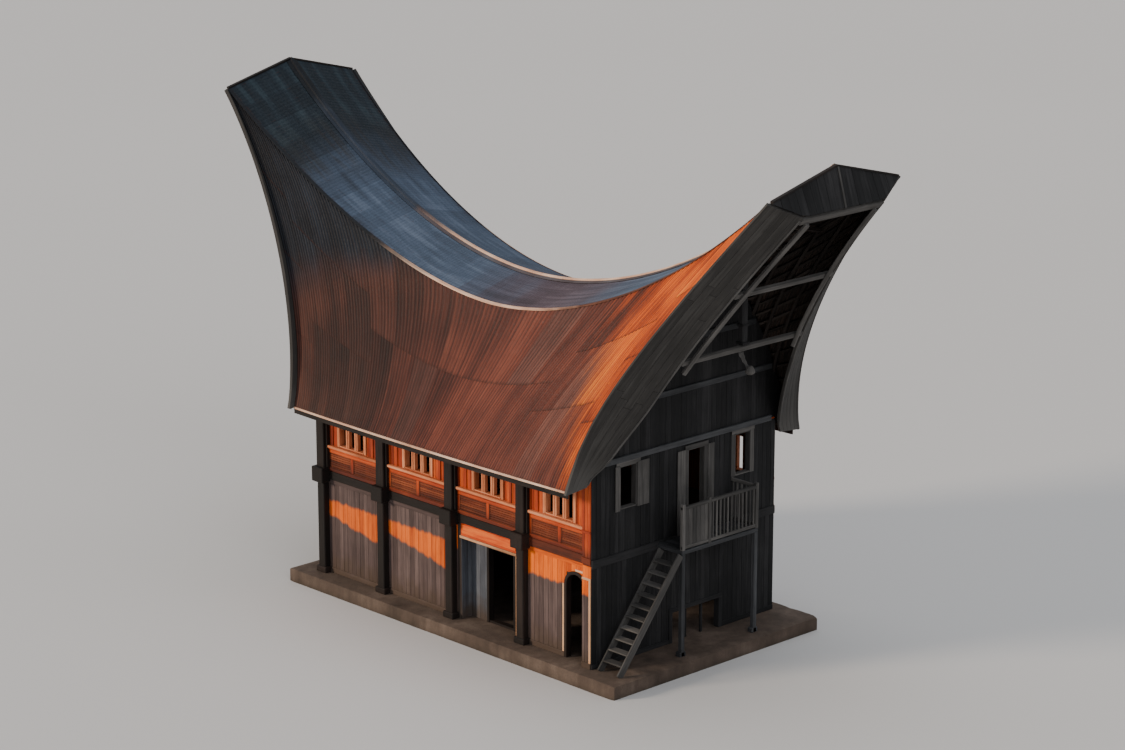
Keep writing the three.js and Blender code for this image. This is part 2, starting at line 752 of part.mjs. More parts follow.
const house = new THREE.Group();
const raised = new THREE.Group();
raised.position.z = PLINTH_HEIGHT;
house.add(raised);

function place(parent, name, geometry, material) {
  const mesh = new THREE.Mesh(geometry, material);
  mesh.name = name;
  parent.add(mesh);
  return mesh;
}

function placePair(name, geometry, material) {
  place(raised, `${name}_right`, geometry, material);
  place(raised, `${name}_left`, mirrored(geometry), material);
}

function addPlinth() {
  const low = [-PLINTH_HALF_WIDTH, PLINTH_FRONT, 0];
  const high = [PLINTH_HALF_WIDTH, PLINTH_REAR, PLINTH_HEIGHT];
  place(house, 'plinth', block(low, high), CONCRETE);
}

function addPosts() {
  for (let line = 0; line <= BAYS; line += 1) {
    const reach = WALL_HALF_LENGTH - POST_WIDTH / 2;
    const y = THREE.MathUtils.clamp((line - BAYS / 2) * BAY_LENGTH, -reach, reach);
    const low = [WALL_HALF_WIDTH + GAP, y - POST_WIDTH / 2, GAP];
    const high = [WALL_HALF_WIDTH + POST_DEPTH, y + POST_WIDTH / 2, WALL_TOP];
    placePair(`side_post_${line + 1}`, block(low, high), DARK_TIMBER);
  }
}

function addGroundStorey() {
  const side = WALL_HALF_WIDTH;
  placePair('ground_wall_arch_bay', sidePanel(archedBayShape(), side, WALL_THICKNESS), GROUND_BOARDS);
  placePair('ground_wall_recess', recessGeometry(), GROUND_BOARDS);
  placePair('recess_lintel', lintelGeometry(), LINTEL_TIMBER);
  placePair('ground_wall_rear_bays', rearBaysGeometry(), GROUND_BOARDS);
  const front = endPanel(frontGroundWallShape(), -WALL_HALF_LENGTH, WALL_THICKNESS);
  place(raised, 'ground_wall_front', front, GABLE_TIMBER);
  const half = WALL_HALF_WIDTH - GAP;
  const rearLow = [-half, WALL_HALF_LENGTH - WALL_THICKNESS, GAP];
  const rear = block(rearLow, [half, WALL_HALF_LENGTH, GROUND_WALL_TOP - GAP]);
  place(raised, 'ground_wall_rear', rear, GABLE_TIMBER);
}

function addUpperStorey() {
  const half = WALL_HALF_WIDTH - GAP;
  const floorLow = [-half, -WALL_HALF_LENGTH, GROUND_WALL_TOP];
  const floor = block(floorLow, [half, WALL_HALF_LENGTH, UPPER_FLOOR_TOP]);
  place(raised, 'upper_floor', floor, DARK_TIMBER);
  placePair('upper_wall', upperSideGeometry(), PANELLING);
  const front = upperEndGeometry(-WALL_HALF_LENGTH, [balconyDoorCut()]);
  place(raised, 'upper_wall_front', front, GABLE_TIMBER);
  const rear = upperEndGeometry(WALL_HALF_LENGTH - WALL_THICKNESS, []);
  place(raised, 'upper_wall_rear', rear, GABLE_TIMBER);
}

function addRoof() {
  const frontLeft = leftSlopeGeometry(-1);
  const rearLeft = leftSlopeGeometry(1);
  place(raised, 'roof_slope_front_left', frontLeft, RUSTED_SHEET);
  place(raised, 'roof_slope_rear_left', rearLeft, RUSTED_SHEET);
  place(raised, 'roof_slope_front_right', turned(rearLeft), RUSTED_SHEET);
  place(raised, 'roof_slope_rear_right', turned(frontLeft), RUSTED_SHEET);
  const band = leftBandGeometry();
  place(raised, 'ridge_band_left', band, GREY_SHEET);
  place(raised, 'ridge_band_right', turned(band), GREY_SHEET);
  place(raised, 'ridge_cap', ridgeCapGeometry(), PALE_METAL);
  place(raised, 'ridge_beam', ridgeBeamGeometry(0), DARK_TIMBER);
  const fascia = fasciaGeometry();
  place(raised, 'eave_fascia_left', fascia, PALE_METAL);
  place(raised, 'eave_fascia_right', turned(fascia), PALE_METAL);
  const attic = atticSolid();
  const frontWall = gableWallGeometry(attic, -WALL_HALF_LENGTH);
  place(raised, 'gable_wall_front', frontWall, GABLE_TIMBER);
  place(raised, 'gable_wall_rear', turned(frontWall), GABLE_TIMBER);
}

function addGableTrim() {
  const pieces = [
    ['bargeboard_right', bargeboardGeometry(), BOARD_TIMBER],
    ['bargeboard_left', mirrored(bargeboardGeometry()), BOARD_TIMBER],
    ['gable_rail_lower', gableRailGeometry(LOWER_RAIL_PLACE, RAIL_SHARE), PALE_TIMBER],
    ['gable_rail_upper', gableRailGeometry(UPPER_RAIL_PLACE, RAIL_SHARE), PALE_TIMBER],
    ['tip_beam', gableRailGeometry(TIP_BEAM_PLACE, TIP_BEAM_SHARE), PALE_TIMBER],
    ['tip_panel', tipPanelGeometry(), GABLE_TIMBER],
    ['king_post', kingPostGeometry(), BOARD_TIMBER],
  ];
  for (const [name, geometry, material] of pieces) {
    place(raised, `front_${name}`, geometry, material);
    place(raised, `rear_${name}`, turned(geometry), material);
  }
  place(raised, 'front_hanging_neck', hangingNeckGeometry(), PALE_TIMBER);
}

function addBalcony() {
  const wall = -WALL_HALF_LENGTH - GAP;
  const floorBottom = UPPER_FLOOR_TOP - BALCONY_FLOOR_THICKNESS;
  const floorLow = [BALCONY_LEFT, BALCONY_FRONT, floorBottom];
  place(raised, 'balcony_floor', block(floorLow, [BALCONY_RIGHT, wall, UPPER_FLOOR_TOP]), BOARD_TIMBER);
  const postLefts = { left: BALCONY_LEFT, right: BALCONY_RIGHT - BALCONY_POST_SIDE };
  for (const [side, x] of Object.entries(postLefts)) {
    const high = [x + BALCONY_POST_SIDE, BALCONY_FRONT + BALCONY_POST_SIDE, floorBottom - GAP];
    place(raised, `balcony_post_${side}`, block([x, BALCONY_FRONT, GAP], high), BOARD_TIMBER);
  }
  place(raised, 'balcony_railing_front', frontRailingGeometry(), PALE_TIMBER);
  place(raised, 'balcony_railing_end', endRailingGeometry(), PALE_TIMBER);
  place(raised, 'front_stair', stairGeometry(), PALE_TIMBER);
}

addPlinth();
addPosts();
addGroundStorey();
addUpperStorey();
addRoof();
addGableTrim();
addBalcony();

export default house;
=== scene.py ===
import math
import random

import bpy
import numpy as np
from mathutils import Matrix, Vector


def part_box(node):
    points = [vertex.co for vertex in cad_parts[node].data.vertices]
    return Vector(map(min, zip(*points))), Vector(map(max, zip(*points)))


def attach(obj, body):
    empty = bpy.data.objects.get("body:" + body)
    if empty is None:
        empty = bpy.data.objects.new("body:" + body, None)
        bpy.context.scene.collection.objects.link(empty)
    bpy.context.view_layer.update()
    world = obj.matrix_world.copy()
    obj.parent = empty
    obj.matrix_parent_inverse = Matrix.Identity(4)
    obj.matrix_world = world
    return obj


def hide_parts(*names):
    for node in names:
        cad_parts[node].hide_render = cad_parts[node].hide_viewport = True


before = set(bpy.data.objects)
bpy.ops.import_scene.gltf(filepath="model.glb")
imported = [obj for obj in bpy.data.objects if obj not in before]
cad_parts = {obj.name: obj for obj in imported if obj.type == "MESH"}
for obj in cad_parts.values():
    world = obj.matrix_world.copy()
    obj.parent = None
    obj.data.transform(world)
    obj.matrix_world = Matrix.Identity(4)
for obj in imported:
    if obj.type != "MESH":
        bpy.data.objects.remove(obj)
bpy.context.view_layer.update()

# Looks of a tongkonan house. Metres, +Z up, +Y along the ridge, the entrance gable towards -Y.

# Camera: the place fitted to the photo, aimed at the house
CAMERA_PLACE = Vector((-54.18, -57.50, 27.81))
CAMERA_AIM = Vector((-0.1, -0.9, 6.25))
CAMERA_LENS_MM = 104.0
CAMERA_REACH = 2000.0

# Levels and faces taken from the frame
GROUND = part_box("plinth")[1].z
WALL_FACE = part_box("upper_wall_right")[1].x
WALL_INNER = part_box("upper_wall_right")[0].x
END_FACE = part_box("upper_wall_rear")[1].y
GROUND_WALL_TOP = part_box("ground_wall_front")[1].z
UPPER_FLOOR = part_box("upper_floor")[1].z
WALL_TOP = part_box("upper_wall_left")[1].z
POST_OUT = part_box("side_post_3_right")[1].x - WALL_FACE
POST_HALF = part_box("side_post_3_right")[1].y
WALL_DEPTH = WALL_FACE - WALL_INNER
BAY = 2.6
BAY_LINES = (-END_FACE, -BAY, 0.0, BAY, END_FACE)
SIDES = (("left", -1), ("right", 1))

# The roof's form
EAVE_HALF_WIDTH = 3.87
EAVE_HALF_LENGTH = 5.07
EAVE_HEIGHT = GROUND + 4.52
EAVE_LIFT = 0.05
TIP_HALF_LENGTH = 9.71
SHOULDER_HALF_WIDTH = 2.13
SHOULDER_HEIGHT = GROUND + 11.97
CREASE_MID_HALF_WIDTH = 1.585
CREASE_MID_HEIGHT = GROUND + 7.82
RIDGE_MID_HEIGHT = GROUND + 8.27
RIDGE_TIP_HEIGHT = GROUND + 12.51
CREASE_POWER = 1.85
RIDGE_POWER = 1.96
MIDDLE_FLARE = 1.2
END_FLARE = 1.43
RAKE_POWER = 1.48
SURFACE_STEP = 1e-3

# Corrugated sheets
RIB_PITCH_AT_EAVE = 0.082
RIB_DEPTH = 0.016
RIB_STEPS = 6
RIBS_A_SHEET = 8
SHEET_BED = 0.012
SHEET_LENGTH = 2.3
SHEET_LAP = 0.07
SHEET_THICKNESS = 0.003
SHEET_END_LIFT = 0.007
SHEET_SIDE_LIFT = 0.005
SHEET_UNEVEN = 0.002
SHEET_SHARP_DEGREES = 50
ROW_LENGTH = 0.42
BAND_RIB_PITCH = 0.105
BAND_RIB_DEPTH = 0.004
BAND_RIBS_A_SHEET = 7
BAND_ROWS = 6
BAND_WIDTH = 1.7
BAND_LENGTH = 2 * TIP_HALF_LENGTH * 1.12
NAIL_RADIUS = 0.009
NAIL_SIDES = 6
NAIL_RISE = 0.005
NAIL_TAPER = 0.55

# Framing under the sheets
BATTEN_GAP = 0.42
BATTEN_WIDTH = 0.06
BATTEN_TOP = -0.004
BATTEN_BOTTOM = -0.05
RAFTER_COUNT = 21
RAFTER_WIDTH = 0.07
RAFTER_BOTTOM = -0.15

# Bargeboards: their width leans inwards, forwards and down from the rake
BOARD_THICKNESS = 0.07
BOARD_FOOT_INWARD = 0.52
BOARD_FOOT_RISE = 0.05
BOARD_INWARD = 0.78
BOARD_FORWARD = 0.27
BOARD_DROP = 0.355
BOARD_LEAN_END = 0.35
BOARD_DROP_END = 0.15
BOARD_PROUD_FOOT = 0.28
BOARD_PROUD_TIP = 0.07
BOARD_PLANKS = 5
LOWER_RAIL_PLACE = 0.479
UPPER_RAIL_PLACE = 0.717
TIP_BEAM_PLACE = 0.986
RAKE_RAFTER_PLACE = 1.27
TIP_PLANKS = 18
GABLE_BOARDS = 34
ROOF_CLEARANCE = 0.19
BAND_CLEARANCE = 0.16

# Wall cladding and timbers
UPRIGHT = 2
BOARD_WIDTH = 0.165
BOARD_UNEVEN = 0.004
BOARD_GAP = 0.006
BURIED = -0.004
SMALL_CHAMFER = 0.004
FINE_CUT = 0.008
WIDE_CUT = 0.012
PANEL_BASE = UPPER_FLOOR + 0.07
SILL = GROUND + 3.44
SKIRTING = (GROUND + 0.002, GROUND + 0.14)
MULLION_HALF = 0.065
SLATS_A_PANEL = 6
POST_SLIMNESS = 0.02
CASING_WIDTH = 0.055
PANEL_BOARD_WIDTH = 0.14
RECESS_BOARD_WIDTH = 0.15
RECESS_START = -BAY + 0.15
RECESS_END = -0.15
POST_CUT = 0.018
POST_FOOT_HALF = 0.19
POST_FOOT_TOP = GROUND + 0.16
CASING_OUT = 0.13
BAY_MARGIN = 0.16
BASE_RAIL_HEIGHT = 0.1
HEAD_RAIL_DROP = 0.17
STILE_HALF = 0.05
WINDOW_HEAD_RISE = 0.13
MOULDING_WIDTH = 0.022
MOULDING_OUT = 0.042
WINDOW_LINING = 0.03
BAR_HALF = 0.018
RECESS_BOARD_OUT = 0.018
ARCH_STEPS = 12
OPENING_FRAME = 0.1
OPENING_BARS = (0.1, 0.66)

# Beams across a gable: their level above the walls, and how far they stand out
GABLE_BEAMS = ((0.02, 0.06), (1.35, 0.05), (2.6, 0.05))

# Openings, as from, to, bottom and top
ARCH_DOOR = (-4.72, -4.08, GROUND, GROUND + 2.2)
RECESS_DOOR = (-1.865, -0.935, GROUND, GROUND + 1.96)
BALCONY_DOOR = (0.045, 0.645, GROUND + 2.6, GROUND + 4.85)
LOW_OPENING = (-0.46, 1.21, GROUND, GROUND + 0.8)

# Front shutters: from, to, and their bottom and top above the ground
SHUTTERS = ((-2.43, -2.28, 3.8, 4.92), (-1.69, -1.3, 3.8, 4.92), (-0.32, -0.06, 2.72, 4.86),
            (0.74, 0.95, 2.72, 4.86))

# Windows of a side and of an end: their middles, half their width, bottom and top
SIDE_WINDOWS = ((-3.85, -1.3, 1.3, 3.85), 0.5, GROUND + 3.5, GROUND + 4.45)
END_WINDOWS = ((-1.985, 1.985), 0.285, GROUND + 3.82, GROUND + 4.9)
SIDE_LIGHTS = 3

# Balcony and stair
DECK_BOARDS = 19
DECK_BOARD_THICKNESS = 0.03
DECK_EDGE_WIDTH = 0.07
JOIST_WIDTH = 0.08
RAILING_POST_WIDTH = 0.1
HAND_RAIL_HEIGHT = 0.08
FOOT_RAIL = (0.03, 0.11)
BOARDED_END = -0.1
RAILING_BOARDS = 6
FRONT_BALUSTERS = 12
END_BALUSTERS = 6
BALUSTER_HALF = 0.022
TREADS = 10
STRINGER_DEPTH = 0.2
STRINGER_THICKNESS = 0.05
TREAD_HALF = 0.115
TREAD_THICKNESS = 0.035

# Plinth
PLINTH_STEPS = 160
PLINTH_WEAR = (0.012, 0.05)
PLINTH_SAG = (0.0, 0.01)
PLINTH_END_CUT = 0.03


def add_object(name, data):
    thing = bpy.data.objects.new(name, data)
    bpy.context.scene.collection.objects.link(thing)
    return thing


def make_camera():
    data = bpy.data.cameras.new("camera")
    data.lens = CAMERA_LENS_MM
    data.clip_end = CAMERA_REACH
    camera = add_object("camera", data)
    camera.location = CAMERA_PLACE
    camera.rotation_euler = (CAMERA_AIM - CAMERA_PLACE).to_track_quat("-Z", "Y").to_euler()
    bpy.context.scene.camera = camera


# Roof surfaces: u runs from -1 at the front tip to 1 at the rear one

UPWARDS = np.array((0.0, 0.0, 1.0))
FORWARDS = np.array((0.0, -1.0, 0.0))


def lerp(low, high, share):
    return low + (high - low) * share


def around(middle, half):
    return middle - half, middle + half


def equal_spans(start, end, count, gap=0.02):
    """Spans of boards side by side, the gap being a share of a board's width on each of its sides."""
    return [[lerp(start, end, (k + share) / count) for share in (gap, 1 - gap)] for k in range(count)]


def smooth(value, low, high):
    share = np.clip((value - low) / (high - low), 0, 1)
    return share * share * (3 - 2 * share)


def unit(vectors):
    return vectors / np.linalg.norm(vectors, axis=-1, keepdims=True)


def grids(*values):
    return np.broadcast_arrays(*(np.asarray(value, float) for value in values))


def flipped(side):
    return np.array((side, 1, 1))


def crease_point(u):
    x = lerp(CREASE_MID_HALF_WIDTH, SHOULDER_HALF_WIDTH, u * u)
    z = lerp(CREASE_MID_HEIGHT, SHOULDER_HEIGHT, np.abs(u) ** CREASE_POWER)
    return np.stack([x, u * TIP_HALF_LENGTH, z], axis=-1)


def ridge_point(u):
    z = lerp(RIDGE_MID_HEIGHT, RIDGE_TIP_HEIGHT, np.abs(u) ** RIDGE_POWER)
    return np.stack([u * 0, u * TIP_HALF_LENGTH, z], axis=-1)


def rake_reach(rise):
    """How far the rake stands from the middle of the house."""
    return EAVE_HALF_LENGTH + (TIP_HALF_LENGTH - EAVE_HALF_LENGTH) * rise ** RAKE_POWER


def slope_point(u, rise):
    """Right-hand slope, rise running from 0 at the eave to 1 at the crease."""
    u, rise = grids(u, rise)
    crease = crease_point(u)
    flare = lerp(MIDDLE_FLARE, END_FLARE, np.minimum(u * u, 1))
    x = crease[..., 0] + (EAVE_HALF_WIDTH - crease[..., 0]) * (1 - rise) ** flare
    z = lerp(EAVE_HEIGHT + EAVE_LIFT * u * u, crease[..., 2], rise)
    return np.stack([x, u * rake_reach(rise), z], axis=-1)


def band_point(u, share):
    """Right-hand half of the ridge band, share running from 0 at the ridge to 1 at the crease."""
    u, share = grids(u, share)
    return lerp(ridge_point(u), crease_point(u), share[..., None])


def board_point(rise, width):
    """Right-hand bargeboard of the front gable, width running from 0 at the rake inwards."""
    rise, width = grids(rise, width)
    lean, drop = smooth(rise, 0, BOARD_LEAN_END), smooth(rise, 0, BOARD_DROP_END)
    inwards = np.stack([-lerp(BOARD_FOOT_INWARD, BOARD_INWARD, lean), -BOARD_FORWARD * lean,
                        lerp(BOARD_FOOT_RISE, -BOARD_DROP, drop)], axis=-1)
    return slope_point(-1.0, rise) + inwards * width[..., None]


def board_edge(rise):
    """How far the bargeboard stands out past the rake, as a share of its width."""
    return lerp(BOARD_PROUD_FOOT, BOARD_PROUD_TIP, smooth(rise, 0, 1))


def surface_normal(surface, u, v, facing):
    """The normal on the facing side. Its steps stay on the surface where that has a sharp end."""
    def steps(value, bounded):
        low, high = around(value, SURFACE_STEP)
        return (np.clip(low, 0, None), np.clip(high, None, 1)) if bounded else (low, high)

    u, v = grids(u, v)
    on_board = surface is board_point
    (u_low, u_high), (v_low, v_high) = steps(u, on_board), steps(v, not on_board)
    normal = unit(np.cross(surface(u_high, v) - surface(u_low, v), surface(u, v_high) - surface(u, v_low)))
    return np.where((normal @ facing)[..., None] < 0, -normal, normal)


def lifted(surface, u, v, height, facing=UPWARDS):
    height = np.asarray(height, float)
    return surface(u, v) + surface_normal(surface, u, v, facing) * height[..., None]


def slope_length(u):
    places = slope_point(np.full(9, float(u)), np.linspace(0, 1, 9))
    return float(np.linalg.norm(np.diff(places, axis=0), axis=1).sum())


# Meshes


def box_template():
    """Signs and faces of a box whose edges and corners are cut off."""
    corners = [(x, y, z) for x in (-1, 1) for y in (-1, 1) for z in (-1, 1)]
    signs = np.repeat(np.array(corners, float), 3, axis=0)
    on_face = np.tile(np.eye(3, dtype=bool), (len(corners), 1))

    def point(sign_on, face):
        """The point of a corner that lies on the face across an axis."""
        return corners.index(tuple(sign_on[k] for k in range(3))) * 3 + face

    faces = []
    for axis in range(3):
        first, second = [k for k in range(3) if k != axis]
        for sign in (-1, 1):
            faces.append([point({axis: sign, first: a, second: b}, axis)
                          for a, b in ((-1, -1), (1, -1), (1, 1), (-1, 1))])
        for a in (-1, 1):
            for b in (-1, 1):
                low, high = ({axis: sign, first: a, second: b} for sign in (-1, 1))
                faces.append([point(low, first), point(high, first), point(high, second), point(low, second)])
    faces += [[3 * k, 3 * k + 1, 3 * k + 2] for k in range(len(corners))]
    points = signs * np.where(on_face, 1.0, 0.8)
    for face in faces:
        a, b, c = points[face[:3]]
        if np.cross(b - a, c - a) @ (a + b + c) < 0:
            face.reverse()
    return signs, on_face, faces


BOX_SIGNS, BOX_ON_FACE, BOX_FACES = box_template()
UNDERSIDE_TONE = -5.0
GRAIN_SHIFT = 40
AXES = np.eye(3)


def signed_volume(points, faces):
    total = 0.0
    for face in faces:
        for second, third in zip(face[1:-1], face[2:]):
            total += points[face[0]] @ np.cross(points[second], points[third])
    return total


class Builder:
    """Collects boards, sheets and mouldings, and makes them one piece.

    Each point keeps its place in its own board as the vector grain, with the grain's direction first,
    and its board's tone from 0 to 1. A sheet's points keep their height on the rib as the third number of
    grain, and as place their u, their rise and their metres from the sheet's lower end. On its underside
    the tone is negative.
    """

    def __init__(self, name, side=None):
        self.name, self.side = name, side
        self.dice = random.Random(name)
        self.points, self.faces, self.grain, self.tone, self.place = [], [], [], [], []
        self.count = 0

    def add(self, points, faces, grain, tone=None, place=None):
        tone = self.dice.random() if tone is None else tone
        shift = np.array((self.dice.uniform(0, GRAIN_SHIFT), self.dice.uniform(0, GRAIN_SHIFT), 0))
        self.points.append(points)
        self.grain.append(grain + shift)
        self.tone.append(np.full(len(points), tone) if np.isscalar(tone) else tone)
        self.place.append(np.zeros((len(points), 3)) if place is None else place)
        self.faces.extend([[self.count + k for k in face] for face in faces])
        self.count += len(points)

    def box(self, centre, size, axes=AXES, chamfer=SMALL_CHAMFER, tone=None):
        """A chamfered box: its size and axes are those of its length, width and thickness."""
        half = np.array(size) / 2
        cut = min(chamfer, 0.4 * half.min())
        local = BOX_SIGNS * np.where(BOX_ON_FACE, half, half - cut)
        faces = BOX_FACES if np.linalg.det(axes) > 0 else [face[::-1] for face in BOX_FACES]
        self.add(np.array(centre) + local @ np.array(axes), faces, local, tone)

    def block(self, low, high, grain=UPRIGHT, chamfer=SMALL_CHAMFER, tone=None):
        """A box along the axes, whose grain runs along the axis of that number."""
        low, high = np.array(low), np.array(high)
        order = [grain, (grain + 1) % 3, (grain + 2) % 3]
        self.box((low + high) / 2, (high - low)[order], AXES[order], chamfer, tone)

    def wall(self, along, height, out, back=BURIED, grain=None, chamfer=SMALL_CHAMFER, tone=None):
        """A board on the builder's side of the house: its stretch along the wall, its levels, and how far
        its face and its back stand out from the wall's. Its grain is level unless an axis is given."""
        lengthwise = 1 if self.side in ("left", "right") else 0
        sign = 1 if self.side in ("right", "rear") else -1
        face = WALL_FACE if lengthwise else END_FACE
        depth = sorted(sign * (face + value) for value in (back, out))
        spans = np.array((depth, along, height) if lengthwise else (along, depth, height))
        self.block(spans[:, 0], spans[:, 1], lengthwise if grain is None else grain, chamfer, tone)

    def loft(self, rings, section, tone=None):
        """A closed body through rings of points, each ring having the section's points."""
        rings = np.asarray(rings, float)
        rows, sides = rings.shape[:2]
        steps = np.linalg.norm(np.diff(rings.mean(axis=1), axis=0), axis=1)
        grain = np.empty((rows, sides, 3))
        grain[..., 0] = np.concatenate([[0], np.cumsum(steps)])[:, None]
        grain[..., 1:] = np.asarray(section)[None]
        faces = []
        for row in range(rows - 1):
            a, b = row * sides, (row + 1) * sides
            for k in range(sides):
                after = (k + 1) % sides
                faces.append([a + k, a + after, b + after, b + k])
        faces.append(list(range(sides))[::-1])
        faces.append([(rows - 1) * sides + k for k in range(sides)])
        points = rings.reshape(-1, 3)
        if signed_volume(points, faces) < 0:
            faces = [face[::-1] for face in faces]
        self.add(points, faces, grain.reshape(-1, 3), tone)

    def sheet(self, top, bottom, grain, place, tone):
        """A thin closed body between two grids of points."""
        rows, columns = top.shape[:2]
        under = rows * columns
        index = np.arange(under).reshape(rows, columns)
        quads = np.stack([index[:-1, :-1], index[1:, :-1], index[1:, 1:], index[:-1, 1:]], axis=-1)
        upper = quads.reshape(-1, 4)
        rim = np.concatenate([index[0, :-1], index[:-1, -1], index[-1, :0:-1], index[:0:-1, 0]])
        after = np.roll(rim, -1)
        edge = np.stack([rim, after, after + under, rim + under], axis=-1)
        faces = np.concatenate([upper, upper[:, ::-1] + under, edge])
        points = np.concatenate([top.reshape(-1, 3), bottom.reshape(-1, 3)])
        first = points[faces[0]]
        if np.cross(first[1] - first[0], first[2] - first[0]) @ (first[0] - points[under]) < 0:
            faces = faces[:, ::-1]
        grain, place = (np.concatenate([values.reshape(-1, 3)] * 2) for values in (grain, place))
        self.add(points, faces.tolist(), grain, np.repeat((tone, tone + UNDERSIDE_TONE), under), place)

    def make(self, material, slot, nodes=(), sharp_degrees=30, name=None, turn=1, mirror=1):
        """Makes the piece, turned half round the Z axis if turn is -1, or mirrored if mirror is -1."""
        name = name or self.name
        mesh = bpy.data.meshes.new(name)
        points = np.concatenate(self.points) * np.array((turn * mirror, turn, 1))
        faces = [face[::-1] for face in self.faces] if mirror < 0 else self.faces
        mesh.from_pydata(points.tolist(), [], faces)
        for key, values in (("grain", self.grain), ("place", self.place)):
            attribute = mesh.attributes.new(key, "FLOAT_VECTOR", "POINT")
            attribute.data.foreach_set("vector", np.concatenate(values).astype(np.float32).ravel())
        attribute = mesh.attributes.new("tone", "FLOAT", "POINT")
        attribute.data.foreach_set("value", np.concatenate(self.tone).astype(np.float32))
        mesh.materials.append(material)
        mesh.polygons.foreach_set("use_smooth", [True] * len(mesh.polygons))
        mesh.set_sharp_from_angle(angle=math.radians(sharp_degrees))
        piece = add_object(name, mesh)
        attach(piece, "root")
        if nodes:
            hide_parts(*nodes)


# Material nodes

SHEEN = 0.3


def shade(red, green, blue):
    """A colour given as the eye sees it, from 0 to 255, in the shader's linear values."""
    def linear(value):
        value /= 255
        return value / 12.92 if value <= 0.04045 else ((value + 0.055) / 1.055) ** 2.4
    return linear(red), linear(green), linear(blue), 1.0


class Graph:
    """A material's nodes, joined as they are made."""

    def __init__(self, name):
        self.material = bpy.data.materials.new(name)
        self.material.use_nodes = True
        self.tree = self.material.node_tree
        self.shader = self.tree.nodes["Principled BSDF"]

    def put(self, socket, value):
        if isinstance(value, Field):
            self.tree.links.new(value.socket, socket)
        elif socket.type == "RGBA" and len(value) == 3:
            socket.default_value = shade(*value)
        else:
            socket.default_value = value

    def node(self, kind, values, **settings):
        node = self.tree.nodes.new(kind)
        for key, value in settings.items():
            setattr(node, key, value)
        for key, value in values.items():
            self.put(node.inputs[key], value)
        return node

    def field(self, kind, output, values, **settings):
        return Field(self, self.node(kind, values, **settings).outputs[output])

    def attribute(self, name):
        output = "Fac" if name == "tone" else "Vector"
        return self.field("ShaderNodeAttribute", output, {}, attribute_name=name)

    def position(self):
        return self.field("ShaderNodeTexCoord", "Object", {})

    def joined(self, x, y, z):
        return self.field("ShaderNodeCombineXYZ", "Vector", {"X": x, "Y": y, "Z": z})

    def math(self, operation, first, second=0.0):
        return self.field("ShaderNodeMath", 0, {0: first, 1: second}, operation=operation)

    def mix(self, share, first, second):
        return self.field("ShaderNodeMix", 2, {0: share, 6: first, 7: second}, data_type="RGBA")

    def finish(self, color, roughness, normal, metallic=0.0):
        for name, value in (("Base Color", color), ("Roughness", roughness), ("Normal", normal),
                            ("Metallic", metallic), ("Specular IOR Level", SHEEN)):
            self.put(self.shader.inputs[name], value)
        return self.material


class Field:
    """A value, vector or colour over a surface. Arithmetic with it adds the nodes that work it out."""

    def __init__(self, graph, socket):
        self.graph, self.socket = graph, socket

    def __add__(self, other):
        return self.graph.math("ADD", self, other)

    def __sub__(self, other):
        return self.graph.math("SUBTRACT", self, other)

    def __rsub__(self, other):
        return self.graph.math("SUBTRACT", other, self)

    def __mul__(self, other):
        return self.graph.math("MULTIPLY", self, other)

    def __truediv__(self, other):
        return self.graph.math("DIVIDE", self, other)

    def __pow__(self, other):
        return self.graph.math("POWER", self, other)

    def __mod__(self, other):
        return self.graph.math("MODULO", self, other)

    def __lt__(self, other):
        return self.graph.math("LESS_THAN", self, other)

    def __abs__(self):
        return self.graph.math("ABSOLUTE", self)

    def fraction(self):
        return self.graph.math("FRACT", self)

    def at_least(self, other):
        return self.graph.math("MAXIMUM", self, other)

    def centred(self, weight):
        return (self - 0.5) * weight

    def split(self):
        node = self.graph.node("ShaderNodeSeparateXYZ", {"Vector": self})
        return [Field(self.graph, output) for output in node.outputs]

    def stretched(self, scale):
        return self.graph.field("ShaderNodeVectorMath", "Vector", {0: self, 1: scale}, operation="MULTIPLY")

    def noise(self, scale=1.0, detail=4.0, roughness=0.55, distortion=0.0):
        values = {"Vector": self, "Scale": scale, "Detail": detail, "Roughness": roughness,
                  "Distortion": distortion}
        return self.graph.field("ShaderNodeTexNoise", 0, values)

    def ranged(self, low, high, to_low=0.0, to_high=1.0):
        """The value's way from low to high, as a smooth step from to_low to to_high."""
        values = {"Value": self, "From Min": low, "From Max": high, "To Min": to_low, "To Max": to_high}
        return self.graph.field("ShaderNodeMapRange", "Result", values, interpolation_type="SMOOTHSTEP")

    def ramp(self, places, *colors):
        node = self.graph.node("ShaderNodeValToRGB", {"Fac": self})
        elements = node.color_ramp.elements
        for element, k in ((elements[0], 0), (elements[1], -1)):
            element.position, element.color = places[k], shade(*colors[k])
        for place, color in list(zip(places, colors))[1:-1]:
            elements.new(place).color = shade(*color)
        return Field(self.graph, node.outputs["Color"])

    def mixed(self, share, other):
        return self.graph.mix(share, self, other)

    def bump(self, strength, distance):
        values = {"Strength": strength, "Distance": distance, "Height": self}
        return self.graph.field("ShaderNodeBump", "Normal", values)


# Timber

# Painted sunlight on the ground storey's boards: the levels and edges of its orange zones
SUNLIT_FRONT_LEVEL = GROUND + 1.85
SUNLIT_BAND_TOP = GROUND + 1.96
SUNLIT_BAND_LOW = GROUND + 1.16
SUNLIT_BAND_CLIMB = 0.186
SUNLIT_FADE = 0.05
# Where the painted light on the storey beam ends
LIT_BEAM_END = (-BAY - 0.2, -BAY - 0.05)
GRAIN_STRETCH = (0.8, 13.0, 13.0)
FIBRE_STRETCH = (5.0, 120.0, 120.0)
SPLASH_HEIGHT = GROUND + 0.75


def wall_grain(place):
    """Grain coordinates of a bare wall or beam: upright along Z."""
    x, y, z = place.split()
    return place.graph.joined(z, x + y, x - y)


